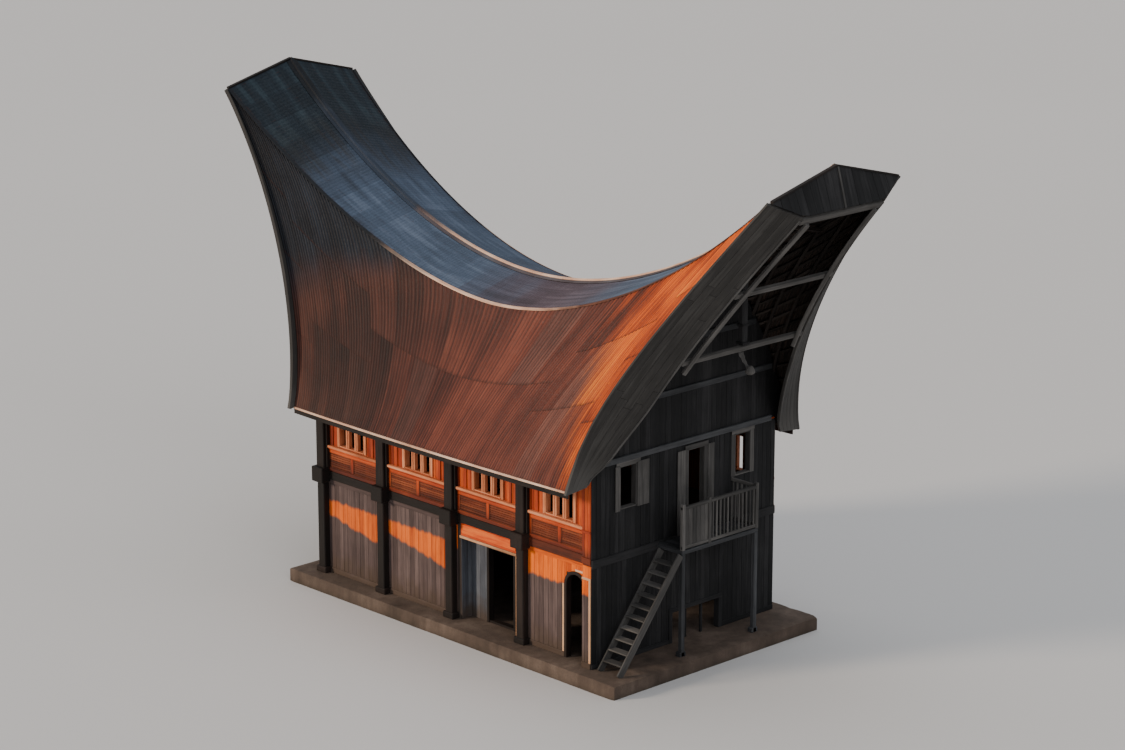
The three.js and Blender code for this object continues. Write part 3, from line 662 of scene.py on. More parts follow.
def sunlit_ground_boards(place):
    """Where sunlight is painted on the ground storey's boards: under the beam in front, in a lower band at
    the rear.
    """
    _, y, z = place.split()
    height = z + place.stretched((5.0, 5.0, 0.4)).noise().centred(0.2)
    band_low = (y % BAY) * SUNLIT_BAND_CLIMB + SUNLIT_BAND_LOW
    rear = (height - band_low).ranged(-SUNLIT_FADE, SUNLIT_FADE)
    rear *= height.ranged(*around(SUNLIT_BAND_TOP, SUNLIT_FADE), 0.85, 0.0)
    front = height.ranged(*around(SUNLIT_FRONT_LEVEL, SUNLIT_FADE))
    return rear + (y < 0.0) * (front - rear)


def lit_front_bay(place):
    """Where the storey beam is painted a lighter brown, as light falling on it: in the front bay."""
    return place.split()[1].ranged(*LIT_BEAM_END, 1.0, 0.0)


def timber(name, dark, middle, light, roughness=0.8, grained=True, weather=0.5, uneven=0.34, splash=None,
           warm=None, foot=None):
    """Grained wood, each board with its own tone. It can have a splashed base, a zone of painted light in two
    colours and a function for its share, and a foot: its colour, level, reach and raggedness."""
    graph = Graph(name)
    place = graph.position()
    grain = graph.attribute("grain") if grained else wall_grain(place)
    rings = grain.stretched(GRAIN_STRETCH).noise(detail=6.0, roughness=0.62, distortion=0.5)
    fibre = grain.stretched(FIBRE_STRETCH).noise(detail=3.0)
    stain = place.noise(scale=0.9, detail=5.0, roughness=0.6)
    value = rings * 0.75 + fibre * 0.3
    if grained:
        value += graph.attribute("tone").centred(uneven)
    value += stain.centred(weather)
    color = value.ramp((0.22, 0.52, 0.85), dark, middle, light)
    z = place.split()[2]
    # Painted light: a zone in two lit colours, where the share function puts it
    if warm:
        lit_colors, lit_share = warm
        color = color.mixed(lit_share(place) * 0.95, value.ramp((0.25, 0.65), *lit_colors))
    if foot:
        foot_color, level, reach, raggedness = foot
        height = z + stain.centred(raggedness)
        color = color.mixed(height.ranged(*around(level, reach), 0.75, 0.0), foot_color)
    if splash:
        height = z + place.noise(scale=3.0, detail=6.0).centred(0.9)
        color = color.mixed(height.ranged(GROUND, SPLASH_HEIGHT, 0.8, 0.0), splash)
    rough = fibre.ranged(0.25, 0.75, roughness - 0.1, min(roughness + 0.1, 1.0))
    return graph.finish(color, rough, (rings * 0.6 + fibre * 0.4).bump(0.45, 0.008))


def concrete(name):
    graph = Graph(name)
    place = graph.position()
    clouds = place.noise(scale=0.7, detail=7.0, roughness=0.65)
    sand = place.noise(scale=38.0, detail=4.0, roughness=0.7)
    pits = place.noise(scale=11.0, detail=3.0)
    runs = place.stretched((3.0, 3.0, 0.25)).noise(detail=5.0)
    value = clouds * 0.7 + sand * 0.25 + runs.centred(0.35)
    color = value.ramp((0.25, 0.5, 0.75), (48, 40, 34), (84, 71, 62), (118, 103, 92))
    low = (place.split()[2] + clouds * 0.25).ranged(0.02, 0.3, 0.75, 0.0)
    relief = sand * 0.35 + pits.ranged(0.3, 0.45, 0.0, 0.65)
    return graph.finish(color.mixed(low, (50, 44, 34)), sand.ranged(0.2, 0.8, 0.82, 0.98),
                        relief.bump(0.5, 0.012))


# Metal sheets

NAIL_ROW_GAP = 0.84
SADDLE_SHIFT = 0.14
DULLING_LENGTH = 0.28
LOW_MID_HIGH = (0.25, 0.5, 0.8)


def streaks(graph, along, across):
    """Noise drawn out along a sheet's fall: fine lines, and broad bands."""
    grain = graph.attribute("grain")
    fine = grain.stretched((along, across * 7, 0.0)).noise()
    broad = grain.stretched((along * 0.3, across, 0.0)).noise(detail=5.0, roughness=0.6)
    return fine, broad


def sheet_finish(graph, color, speck, fine, metallic, valley_darkness=0.5, wear=0.16):
    """Dark valleys, rust along laps and under nails, a dull underside, and the shader's values."""
    rib = graph.attribute("grain").split()[2]
    end = graph.attribute("place").split()[2]
    # Darker in the valleys between the ribs
    valley_dark = (rib + fine.centred(0.7)).ranged(0.0, 0.55, 1.0, 0.0)
    color = color.mixed(valley_dark * valley_darkness, (28, 19, 16))
    worn = (rib + speck.centred(0.9)).ranged(0.85, 1.15)
    color = color.mixed(worn * wear, (176, 128, 106))
    color = color.mixed((end + fine.centred(0.2)).ranged(0.01, 0.1, 0.5, 0.0), (52, 26, 18))
    row = (end / NAIL_ROW_GAP).fraction()
    below = row.ranged(0.3, 0.5) * (row < 0.51) * rib.ranged(0.75, 1.0, 0.0, 0.5) * fine.ranged(0.45, 0.6)
    color = color.mixed(below, (58, 28, 18))
    # The underside's dark colour is partly the bare sheet's own and partly painted shade
    under = graph.attribute("tone") < -1.0
    color = color.mixed(under, fine.ramp((0.3, 0.5, 0.7), (24, 20, 18), (42, 35, 31), (64, 50, 42)))
    relief = speck * 0.5 + fine * 0.5
    return graph.finish(color, speck.ranged(0.3, 0.7, 0.55, 0.85), relief.bump(0.3, 0.005),
                        (1.0 - under) * metallic)


def rusted_sheet(name):
    graph = Graph(name)
    place = graph.position()
    u, rise, _ = graph.attribute("place").split()
    tone = graph.attribute("tone")
    fine, broad = streaks(graph, 0.5, 1.4)
    clouds = place.noise(scale=0.5, detail=6.0, roughness=0.62)
    speck = place.noise(scale=26.0, detail=5.0, roughness=0.7)
    value = broad * 0.5 + fine * 0.5 + clouds.centred(0.45) + tone.centred(0.2) + speck.centred(0.25)
    color = value.ramp((0.22, 0.4, 0.52, 0.66, 0.85), (42, 19, 14), (73, 33, 25), (95, 45, 34),
                       (116, 59, 44), (146, 86, 66))
    # Some sheets are newer and greyer
    newer = (tone * 7.0).fraction().ranged(0.7, 0.9, 0.0, 0.4)
    color = color.mixed(newer, value.ramp(LOW_MID_HIGH, (56, 40, 36), (86, 62, 56), (120, 93, 85)))
    # Deeper brown towards the rear
    rearward = (u + rise * 0.3).ranged(-0.05, 0.7, 0.0, 0.85)
    color = color.mixed(rearward, value.ramp(LOW_MID_HIGH, (18, 10, 8), (42, 22, 17), (82, 48, 37)))
    # Orange on the front end, partly fresh rust and partly painted sunlight
    foot = (1.0 - rise).at_least(0.0) ** 1.3
    past = u * -1.0 - (foot * 0.45 + 0.45) + broad.centred(0.4)
    rust_and_sunlight = value.ramp((0.25, 0.42, 0.56, 0.8), (108, 38, 4), (178, 68, 6), (222, 98, 10), (248, 146, 40))
    color = color.mixed(past.ranged(-0.03, 0.2, 0.0, 0.9), rust_and_sunlight)
    # Slate grey, unrusted sheets on the steep rear end
    bare = (u + rise * 1.13 + broad.centred(0.16) + tone.centred(0.06)).ranged(1.32, 1.56)
    color = color.mixed(bare, value.ramp(LOW_MID_HIGH, (12, 15, 20), (22, 27, 34), (42, 49, 59)))
    return sheet_finish(graph, color, speck, fine, bare * 0.3, wear=bare.ranged(0.0, 1.0, 0.1, 0.03))


def grey_sheet(name):
    """Blue-grey sheets, brown at the saddle and dark teal at the tips."""
    graph = Graph(name)
    place = graph.position()
    u, share, _ = graph.attribute("place").split()
    fine, broad = streaks(graph, 0.8, 1.0)
    lengthwise = graph.joined(u * 3.2, share * 7.0, 0.0).noise(detail=6.0, roughness=0.6, distortion=0.6)
    clouds = place.noise(scale=0.45, detail=5.0, roughness=0.6)
    speck = place.noise(scale=20.0, detail=4.0, roughness=0.7)
    value = lengthwise * 0.75 + broad * 0.15 + fine * 0.1
    value += graph.attribute("tone").centred(0.1)
    value += clouds.centred(0.25)
    places = (0.25, 0.5, 0.75)
    blue = value.ramp(places, (46, 55, 68), (68, 82, 101), (104, 117, 136))
    teal = value.ramp(places, (14, 21, 27), (24, 36, 45), (52, 69, 77))
    brown = value.ramp(places, (56, 43, 45), (84, 66, 70), (122, 102, 106))
    reach = abs(u + SADDLE_SHIFT) + clouds.centred(0.22)
    color = brown.mixed((reach + broad.centred(0.25)).ranged(0.02, 0.34, 0.2, 1.0), blue)
    color = color.mixed(reach.ranged(0.76, 0.96), teal)
    stain = reach.ranged(0.72, 0.84) * reach.ranged(0.9, 1.06, 0.7, 0.0)
    color = color.mixed(stain * lengthwise.ranged(0.4, 0.6), (34, 31, 30))
    return sheet_finish(graph, color, speck, fine, 0.3, 0.12, 0.03)


def pale_metal(name, bright_reach=None, dull_flanks=False, front_rust=0.0, blue=0.0):
    """Folded strips, bright along the roof from the first u to the second, and dull beyond. The dull part
    can be rusty in front, and bluish at both ends."""
    graph = Graph(name)
    place = graph.position()
    grain = graph.attribute("grain")
    run = grain.stretched((1.2, 9.0, 0.0)).noise(detail=5.0)
    speck = place.noise(scale=24.0, detail=4.0, roughness=0.7)
    clouds = place.noise(scale=1.4, detail=5.0)
    value = run * 0.5 + clouds * 0.5
    color = value.ramp((0.28, 0.45, 0.7), (138, 98, 78), (196, 154, 128), (228, 202, 180))
    color = color.mixed(speck.ranged(0.6, 0.72, 0.0, 0.5), (120, 74, 52))
    y = place.split()[1]
    places = (0.3, 0.55, 0.75)
    dull_color = value.ramp(places, (12, 15, 19), (22, 26, 32), (40, 45, 52))
    rusty = value.ramp(places, (58, 30, 20), (98, 58, 42), (140, 94, 72))
    dull_color = dull_color.mixed(y.ranged(-1.5, 0.0, front_rust, 0.0), rusty)
    bluish = value.ramp(places, (32, 40, 51), (48, 58, 73), (74, 86, 103))
    dull_color = dull_color.mixed(abs(y).ranged(6.9, 9.0, blue, 0.0), bluish)
    rough = speck.ranged(0.3, 0.7, 0.45, 0.65)
    if bright_reach:
        front, rear = bright_reach
        along = y / TIP_HALF_LENGTH + clouds.centred(0.2)
        dull = along.ranged(front - DULLING_LENGTH, front, 1.0, 0.0).at_least(
            along.ranged(rear, rear + DULLING_LENGTH))
        if dull_flanks:
            dull = dull.at_least(grain.split()[2].ranged(0.4, 0.8, 0.9, 0.0))
        color = color.mixed(dull, dull_color)
        rough += dull * 0.25
    return graph.finish(color, rough, speck.bump(0.2, 0.004), 0.1)


# Roof


def add_sheet(builder, surface, u_range, v_range, ribs, rows, v_metres, side, depth=RIB_DEPTH):
    """One corrugated sheet whose ribs run with v, its end nearest v_range[0] lying over the next."""
    across = np.linspace(0, 1, ribs * RIB_STEPS + 1)
    down = np.linspace(0, 1, rows + 1)
    rib = (1 - np.cos(2 * math.pi * ribs * across)) / 2
    heights = depth * rib + SHEET_SIDE_LIFT * across + builder.dice.uniform(0, SHEET_UNEVEN)
    heights = heights[None] + (SHEET_END_LIFT * (1 - down))[:, None] + SHEET_BED
    us, vs = lerp(*u_range, across), lerp(*v_range, down)
    u, v = np.meshgrid(us, vs)
    top, bottom = (lifted(surface, u, v, heights - drop) * flipped(side) for drop in (0, SHEET_THICKNESS))
    grain = np.stack([v * v_metres, u * TIP_HALF_LENGTH, np.broadcast_to(rib, u.shape)], axis=-1)
    place = np.stack([u, v, np.abs(v - v_range[0]) * v_metres], axis=-1)
    tone = builder.dice.random()
    builder.sheet(top, bottom, grain, place, tone)
    add_nails(builder, surface, us, vs, heights, ribs, side, tone)


def add_nails(builder, surface, us, vs, heights, ribs, side, tone):
    """Nail heads on every second rib of a sheet, row by row."""
    angles = np.arange(NAIL_SIDES) * math.tau / NAIL_SIDES
    circle = np.stack([np.cos(angles), np.sin(angles)], axis=-1)
    faces = []
    for k in range(NAIL_SIDES):
        after = (k + 1) % NAIL_SIDES
        faces.append([k, after, NAIL_SIDES + after, NAIL_SIDES + k])
    faces.append([NAIL_SIDES + k for k in range(NAIL_SIDES)])
    if side < 0:
        faces = [face[::-1] for face in faces]
    for row in range(1, len(vs), 2) if surface is slope_point else (1, len(vs) - 2):
        for column in range(RIB_STEPS // 2, ribs * RIB_STEPS, 2 * RIB_STEPS):
            u, v = np.array([us[column]]), np.array([vs[row]])
            normal = surface_normal(surface, u, v, UPWARDS)[0]
            centre = surface(u, v)[0] + normal * heights[row, column]
            first = unit(np.cross(normal, (0.0, 1.0, 0.0)))
            low = centre + (circle[:, :1] * first + circle[:, 1:] * np.cross(normal, first)) * NAIL_RADIUS
            high = centre + normal * NAIL_RISE + (low - centre) * NAIL_TAPER
            place = np.broadcast_to((us[column], vs[row], 1.0), (2 * NAIL_SIDES, 3))
            builder.add(np.concatenate([low, high]) * flipped(side), faces, np.ones(place.shape), tone, place)


def make_slopes(material):
    """Courses of sheets from the eave to the crease, in strips that fan out with the roof."""
    strips = round(EAVE_HALF_LENGTH / RIB_PITCH_AT_EAVE / RIBS_A_SHEET)
    for side_name, side in SIDES:
        for end_name, u_start in (("front", -1.0), ("rear", 0.0)):
            node = f"roof_slope_{end_name}_{side_name}"
            builder = Builder(node)
            for strip in range(strips):
                last = strip == strips - 1
                start, end = (u_start + (strip + k) / strips for k in (0, 1))
                end = min(end + (end - start) / RIBS_A_SHEET, u_start + 1)
                length = slope_length((start + end) / 2)
                courses = max(1, round(length / SHEET_LENGTH))
                for course in range(courses):
                    low, high = course / courses, (course + 1) / courses
                    low -= SHEET_LAP / length if course else 0
                    rows = max(2, round((high - low) * length / ROW_LENGTH))
                    add_sheet(builder, slope_point, (start, end), (low, high), RIBS_A_SHEET + (not last),
                              rows, length, side)
            name = f"roof_sheets_{end_name}_{side_name}"
            builder.make(material, "rusted_sheet", [node], SHEET_SHARP_DEGREES, name)


def make_ridge_band(material):
    strips = round(BAND_LENGTH / BAND_RIB_PITCH / BAND_RIBS_A_SHEET)
    for side_name, side in SIDES:
        builder = Builder(f"ridge_sheets_{side_name}")
        for strip in range(strips):
            start, end = (lerp(-1, 1, (strip + k) / strips) for k in (0, 1))
            end = min(end + 2 / strips / BAND_RIBS_A_SHEET, 1)
            add_sheet(builder, band_point, (start, end), (1.0, 0.0), BAND_RIBS_A_SHEET + (strip < strips - 1),
                      BAND_ROWS, BAND_WIDTH, side, BAND_RIB_DEPTH)
        builder.make(material, "grey_sheet", [f"ridge_band_{side_name}"], SHEET_SHARP_DEGREES)


def along_surface(surface, us, vs, section, side=1, facing=UPWARDS):
    """Rings of a strip that follows a line on a surface. The section gives its points as metres to the
    line's right and metres out of the surface."""
    us, vs = grids(us, vs)
    middle = surface(us, vs)
    normal = surface_normal(surface, us, vs, facing)
    right = unit(np.cross(unit(np.gradient(middle, axis=0)), normal))
    section = np.asarray(section, float)
    rings = (middle[:, None] + right[:, None] * section[None, :, :1]
             + normal[:, None] * section[None, :, 1:])
    return rings * flipped(side)


def rectangle(width, low, high, chamfer=0.0):
    half = width / 2
    if not chamfer:
        return [(-half, low), (half, low), (half, high), (-half, high)]
    cut = half - chamfer
    return [(-cut, low), (cut, low), (half, low + chamfer), (half, high - chamfer),
            (cut, high), (-cut, high), (-half, high - chamfer), (-half, low + chamfer)]


def make_framing(material):
    """Rafters and battens under the sheets of each side."""
    us = np.linspace(-0.992, 0.992, 65)
    rises = np.linspace(0.004, 0.985, 15)
    shares = np.linspace(0.04, 0.96, 4)
    battens = round(slope_length(0.6) / BATTEN_GAP)
    lines = [(slope_point, us, lerp(0.012, 0.985, k / battens)) for k in range(battens + 1)]
    lines += [(band_point, us, lerp(0.12, 0.93, k / 3)) for k in range(4)]
    for k in range(RAFTER_COUNT):
        u = lerp(-0.985, 0.985, k / (RAFTER_COUNT - 1))
        lines += [(slope_point, u, rises), (band_point, u, shares)]
    batten = rectangle(BATTEN_WIDTH, BATTEN_BOTTOM, BATTEN_TOP)
    rafter = rectangle(RAFTER_WIDTH, RAFTER_BOTTOM, BATTEN_BOTTOM)
    for side_name, side in SIDES:
        builder = Builder(f"roof_framing_{side_name}")
        for surface, u, v in lines:
            section = batten if u is us else rafter
            builder.loft(along_surface(surface, u, v, section, side), section)
        builder.make(material, "dark_timber")


def make_flashings(material, cap_material):
    """Folded strips along the creases, and the cap over the ridge."""
    us = np.linspace(-0.999, 0.999, 97)
    down = np.array((0, 0, -0.006))
    for side_name, side in SIDES:
        builder = Builder(f"crease_flashing_{side_name}")
        low = lifted(slope_point, us, 0.9945, 0.048)
        fold = (lifted(slope_point, us, 0.9999, 0.05) + lifted(band_point, us, 0.9999, 0.044)) / 2
        high = lifted(band_point, us, 0.98, 0.04)
        rings = np.stack([low, fold, high, high + down, fold + down, low + down], axis=1) * flipped(side)
        builder.loft(rings, [(0, 0), (0.1, 0), (0.2, 0), (0.2, 0.01), (0.1, 0.01), (0, 0.01)])
        builder.make(material, "pale_metal", sharp_degrees=25)
    builder = Builder("ridge_cap_sheet")
    lines = [lifted(band_point, us, share, lift)
             for share, lift in ((0.08, 0.036), (0.03, 0.044), (0.024, 0.066), (0.012, 0.084))]
    middle = ridge_point(us) + np.array((0, 0, 0.095))
    upper = [*(line * flipped(-1) for line in lines), middle, *lines[::-1]]
    heights = (0.0, 0.3, 0.7, 1.0, 1.0, 1.0, 0.7, 0.3, 0.0)
    section = [(0.03 * k, height) for k, height in enumerate(heights)]
    rings = np.stack([*upper, *(line + down for line in upper[::-1])], axis=1)
    builder.loft(rings, [*section, *section[::-1]])
    builder.make(cap_material, "pale_metal", ["ridge_cap"], 25)


def make_fascias(timber_material, metal):
    """Eave boards with a folded metal drip edge over their top."""
    line = slope_point(np.linspace(-0.998, 0.998, 33), 0.0)
    board = [(0.002, -0.14), (0.032, -0.14), (0.032, 0.0), (0.002, 0.0)]
    drip = [(-0.05, 0.036), (0.042, 0.026), (0.05, -0.018), (0.044, -0.02), (0.037, 0.018), (-0.05, 0.03)]
    for side_name, side in SIDES:
        for name, section, material, slot, nodes in (
                ("eave_board", board, timber_material, "pale_timber", [f"eave_fascia_{side_name}"]),
                ("eave_drip_edge", drip, metal, "pale_metal", [])):
            builder = Builder(f"{name}_{side_name}")
            offsets = np.array([(out, 0.0, up) for out, up in section])
            builder.loft((line[:, None] + offsets[None]) * flipped(side), section)
            builder.make(material, slot, nodes)


# Gables: made at the front, and turned half round for the rear


def both_ends(builder, material, slot, replaced=None, name=None, mirrored=False):
    """Makes a piece of the front gable at both ends, and on both sides too if it is a right-hand one."""
    for end, turn in (("front", 1), ("rear", -1)):
        for side, mirror in (("_right", 1), ("_left", -1)) if mirrored else (("", 1),):
            nodes = [f"{end}_{replaced}{side}"] if replaced else []
            builder.make(material, slot, nodes, name=f"{end}_{name or builder.name}{side}", turn=turn,
                         mirror=mirror)


def make_board_planks(material, steps=30):
    """The planks of a right-hand bargeboard, butted at uneven places along the rake."""
    builder = Builder("bargeboard_planks")
    for plank in range(BOARD_PLANKS):
        cuts = [0.0, builder.dice.uniform(0.3, 0.4), builder.dice.uniform(0.62, 0.75), 1.0]
        for start, end in zip(cuts, cuts[1:]):
            rises = np.linspace(start, end - (0.001 if end < 1 else 0), max(4, round(steps * (end - start))))
            low, high = (lerp(-board_edge(rises), 1.0, (plank + k) / BOARD_PLANKS) for k in (0.006, 0.994))
            front = BOARD_THICKNESS + builder.dice.uniform(-0.002, 0.003)
            outline = ((low, 0.004), (high, 0.004), (high, front - 0.006), (high - 0.007, front),
                       (low + 0.007, front), (low, front - 0.006))
            rings = [lifted(board_point, rises, width, depth, FORWARDS) for width, depth in outline]
            section = [(0, 0), (0.2, 0), (0.2, 0.06), (0.19, 0.07), (0.01, 0.07), (0, 0.06)]
            builder.loft(np.stack(rings, axis=1), section)
    both_ends(builder, material, "board_timber", "bargeboard", mirrored=True)


def board_strip(builder, rises, widths, section):
    """A strip along a bargeboard, its section given as metres across and metres out."""
    builder.loft(along_surface(board_point, rises, widths, section, facing=FORWARDS), section)


def make_bargeboards(board_material, pale):
    """Planks, a folded strip over their joint with the roof sheets, and a moulding with a rafter."""
    make_board_planks(board_material)
    edge = Builder("rake_flashing")
    rises = np.linspace(0, 1, 33)
    face = BOARD_THICKNESS
    section = [(-0.04, 0.0), (0.03, 0.0), (0.035, face + 0.012), (-0.012, face + 0.016),
               (-0.018, face + 0.01), (-0.04, 0.02)]
    board_strip(edge, rises, -board_edge(rises) - 0.01, section)
    both_ends(edge, board_material, "board_timber", mirrored=True)
    rafter = Builder("rake_rafter")
    rises = np.linspace(LOWER_RAIL_PLACE - 0.03, TIP_BEAM_PLACE - 0.004, 21)
    board_strip(rafter, rises, RAKE_RAFTER_PLACE, rectangle(0.1, -0.05, 0.05, 0.01))
    moulding = rectangle(0.05, *around(face, 0.02), 0.006)
    board_strip(rafter, np.linspace(0.01, 0.99, 30), 0.965, moulding)
    both_ends(rafter, pale, "pale_timber", mirrored=True)


def make_rails(material):
    """Beams across the gable between the inner edges of the bargeboards."""
    for name, place, height in (("gable_rail_lower", LOWER_RAIL_PLACE, 0.14),
                                ("gable_rail_upper", UPPER_RAIL_PLACE, 0.14),
                                ("tip_beam", TIP_BEAM_PLACE, 0.2)):
        builder = Builder(name)
        x, y, z = lifted(board_point, place, 1.0, BOARD_THICKNESS / 2, FORWARDS)
        normal = surface_normal(board_point, place, 1.0, FORWARDS)
        flat = unit(np.array((0.0, normal[1], normal[2])))
        up = np.cross(AXES[0], flat)
        axes = np.array((AXES[0], up if up[2] > 0 else -up, flat))
        builder.box((0.0, y, z), (2 * x, height, 0.1), axes, 0.012)
        both_ends(builder, material, "pale_timber", name, f"{name}_beam")


def make_tip_panel(material, pale, edge_material):
    """Planks that close the tip, with a pale batten over the joint in the middle."""
    outer, inner = board_point(1.0, 0.0), board_point(1.0, 1.0)

    def corners(x, depth):
        reach = abs(x)
        foot = inner if reach <= inner[0] else lerp(inner, outer, (reach - inner[0]) / (outer[0] - inner[0]))
        top = lerp(RIDGE_TIP_HEIGHT, SHOULDER_HEIGHT, min(reach / SHOULDER_HALF_WIDTH, 1)) + 0.025
        return (np.array((x, foot[1] - depth - 0.004, foot[2] + 0.004)),
                np.array((x, -TIP_HALF_LENGTH - 0.004 - depth, top)))

    def upright(builder, left, right, back, front):
        outline = ((left, back), (right, back), (right, front), (left, front))
        ends = [corners(x, depth) for x, depth in outline]
        builder.loft([[foot for foot, _ in ends], [top for _, top in ends]], rectangle(0.2, 0, 0.06))

    planks = Builder("tip_planks")
    edges = np.linspace(-outer[0], outer[0], TIP_PLANKS + 1)
    for start, end in zip(edges, edges[1:]):
        upright(planks, start + 0.004, end - 0.004, 0.0, 0.06 + planks.dice.uniform(-0.003, 0.006))
    both_ends(planks, material, "gable_timber", "tip_panel")
    batten = Builder("tip_batten")
    upright(batten, -0.03, 0.03, 0.064, 0.09)
    both_ends(batten, pale, "pale_timber")
    edge = Builder("tip_edge")
    profile = ((0.0, -0.02), (0.0, 0.075), (0.045, 0.075), (0.045, -0.02))
    for side in (-1, 1):
        rings = [[corners(x, depth)[1] + np.array((0, 0, rise)) for rise, depth in profile]
                 for x in (0.0, side * SHOULDER_HALF_WIDTH)]
        edge.loft(rings, rectangle(0.1, 0, 0.045))
    both_ends(edge, edge_material, "board_timber")


def make_gable_posts(board_material, pale):
    """King posts with collars, and the carved neck and head that hang in the entrance gable."""
    low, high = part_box("front_king_post")
    builder = Builder("king_post")
    builder.block(low, high, UPRIGHT, 0.03)
    for level, extra in ((0.06, 0.03), (0.5, 0.02), (high.z - low.z - 0.1, 0.03)):
        z = low.z + level
        builder.block((low.x - extra, low.y - extra, z - 0.03),
                      (high.x + extra, high.y + extra, z + 0.03), 0, 0.01)
    both_ends(builder, board_material, "board_timber", "king_post", "king_post_timber")
    low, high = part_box("front_hanging_neck")
    neck = Builder("carved_neck")
    top = np.array((0.0, high.y - 0.065, high.z))
    foot = np.array((0.0, low.y + 0.12, low.z + 0.12))

    def circle(sides, radius, tall=0.0, wide=1.0):
        angles = np.arange(sides) * math.tau / sides
        return np.stack([np.cos(angles), np.sin(angles) * wide, np.sin(angles) * tall], axis=-1) * radius

    def carve(rings, sides, radius):
        neck.loft(rings, [(radius * math.cos(k), radius * math.sin(k)) for k in range(sides)])

    rings = []
    for share in np.linspace(0, 1, 15):
        middle = lerp(top, foot, share) + np.array((0, 0.05, 0)) * math.sin(math.pi * share)
        radius = lerp(0.085, 0.05, smooth(share, 0, 0.8)) + 0.012 * math.cos(share * 22)
        rings.append(middle + circle(12, radius, 0.6, 0.8))
    carve(rings, 12, 0.05)
    rings = []
    for angle in math.pi * np.linspace(0.02, 0.98, 13):
        radius = 0.115 * math.sin(angle) * (1 + 0.12 * math.cos(angle * 3))
        rings.append(foot + np.array((0, 0, 0.115 * math.cos(angle))) + circle(16, radius))
    carve(rings, 16, 0.1)
    neck.make(pale, "pale_timber", ["front_hanging_neck"], name="front_carved_neck")


def gable_top(y):
    """A function that gives the underside of the roof over a gable wall at each x."""
    rises = np.linspace(0, 1, 60)
    slope = slope_point(y / rake_reach(rises), rises)
    band = band_point(np.full(8, y / TIP_HALF_LENGTH), np.linspace(1, 0, 8))
    line = np.concatenate([slope - UPWARDS * ROOF_CLEARANCE, band - UPWARDS * BAND_CLEARANCE])
    line = line[np.argsort(line[:, 0])]
    return lambda x: float(np.interp(abs(x), line[:, 0], line[:, 2]))


def make_gable_cladding(material, trim_material):
    face = -END_FACE
    top_at = gable_top(face - 0.02)
    builder = Builder("gable_cladding")
    edges = np.linspace(-WALL_FACE, WALL_FACE, GABLE_BOARDS + 1)
    for start, end in zip(edges, edges[1:]):
        a, b = start + 0.003, end - 0.003
        out = face - (0.02 + builder.dice.uniform(-0.004, 0.006))
        ring = ((a, face + 0.004), (b, face + 0.004), (b, out), (a, out))
        feet = [(x, y, WALL_TOP + 0.09) for x, y in ring]
        tops = [(x, y, top_at(x)) for x, y in ring]
        builder.loft([feet, tops], rectangle(0.17, 0, 0.02))
    both_ends(builder, material, "gable_timber")
    beams = Builder("gable_beams")
    for level, out in GABLE_BEAMS:
        z = WALL_TOP + level
        half = WALL_FACE
        while half > 0 and top_at(half) < z + 0.12:
            half -= 0.02
        beams.block((-half, face - out - 0.02, z - 0.07), (half, face + 0.01, z + 0.07), 0, 0.01)
    both_ends(beams, trim_material, "board_timber")


# Walls


def clad(builder, along, height, holes=(), thickness=0.02, width=BOARD_WIDTH):
    """Upright boards on a wall, cut round its holes, each given as from, to, bottom and top."""
    inner = [edge for hole in holes for edge in hole[:2] if along[0] < edge < along[1]]
    edges = sorted({*along, *inner})
    for start, end in zip(edges, edges[1:]):
        middle = (start + end) / 2
        spans, level = [], height[0]
        for bottom, top in sorted(hole[2:] for hole in holes if hole[0] < middle < hole[1]):
            spans.append((level, bottom))
            level = top
        spans.append((level, height[1]))
        count = max(1, round((end - start) / width))
        for a, b in equal_spans(start, end, count, 0):
            out = thickness + builder.dice.uniform(-1, 1) * BOARD_UNEVEN
            tone = builder.dice.random()
            for bottom, top in spans:
                if top - bottom > 0.02:
                    builder.wall((a + BOARD_GAP / 2, b - BOARD_GAP / 2), (bottom, top), out, grain=UPRIGHT,
                                 tone=tone)


def window_holes(side):
    """The cut-outs of a side's or an end's windows, as from, to, bottom and top."""
    centres, half, bottom, top = SIDE_WINDOWS if side in ("left", "right") else END_WINDOWS
    return [(*around(centre, half), bottom, top) for centre in centres]


def add_window(builder, hole, lights, width, out):
    """Jambs, head and sill of one window, filling its reveal, and mullions between its lights."""
    start, end, bottom, top = hole
    reveal = {"out": out, "back": -WALL_DEPTH}
    for along in ((start - width, start + 0.012), (end - 0.012, end + width)):
        builder.wall(along, (bottom - 0.01, top + width), out, grain=UPRIGHT)
    builder.wall((start - width, end + width), (top, top + width), out + 0.012)
    for along in ((start, start + WINDOW_LINING), (end - WINDOW_LINING, end)):
        builder.wall(along, (bottom, top), **reveal, grain=UPRIGHT)
    builder.wall((start, end), (top - WINDOW_LINING, top), **reveal)
    builder.wall((start, end), (bottom, bottom + WINDOW_LINING), **reveal)
    for k in range(1, lights):
        middle = lerp(start, end, k / lights)
        builder.wall(around(middle, MULLION_HALF), (bottom, top), out - 0.01, -0.07, UPRIGHT, FINE_CUT)
        levels = (bottom + WINDOW_LINING, top - WINDOW_LINING)
        builder.wall(around(middle, BAR_HALF), levels, out + 0.008, out - 0.012, UPRIGHT, 0.006)


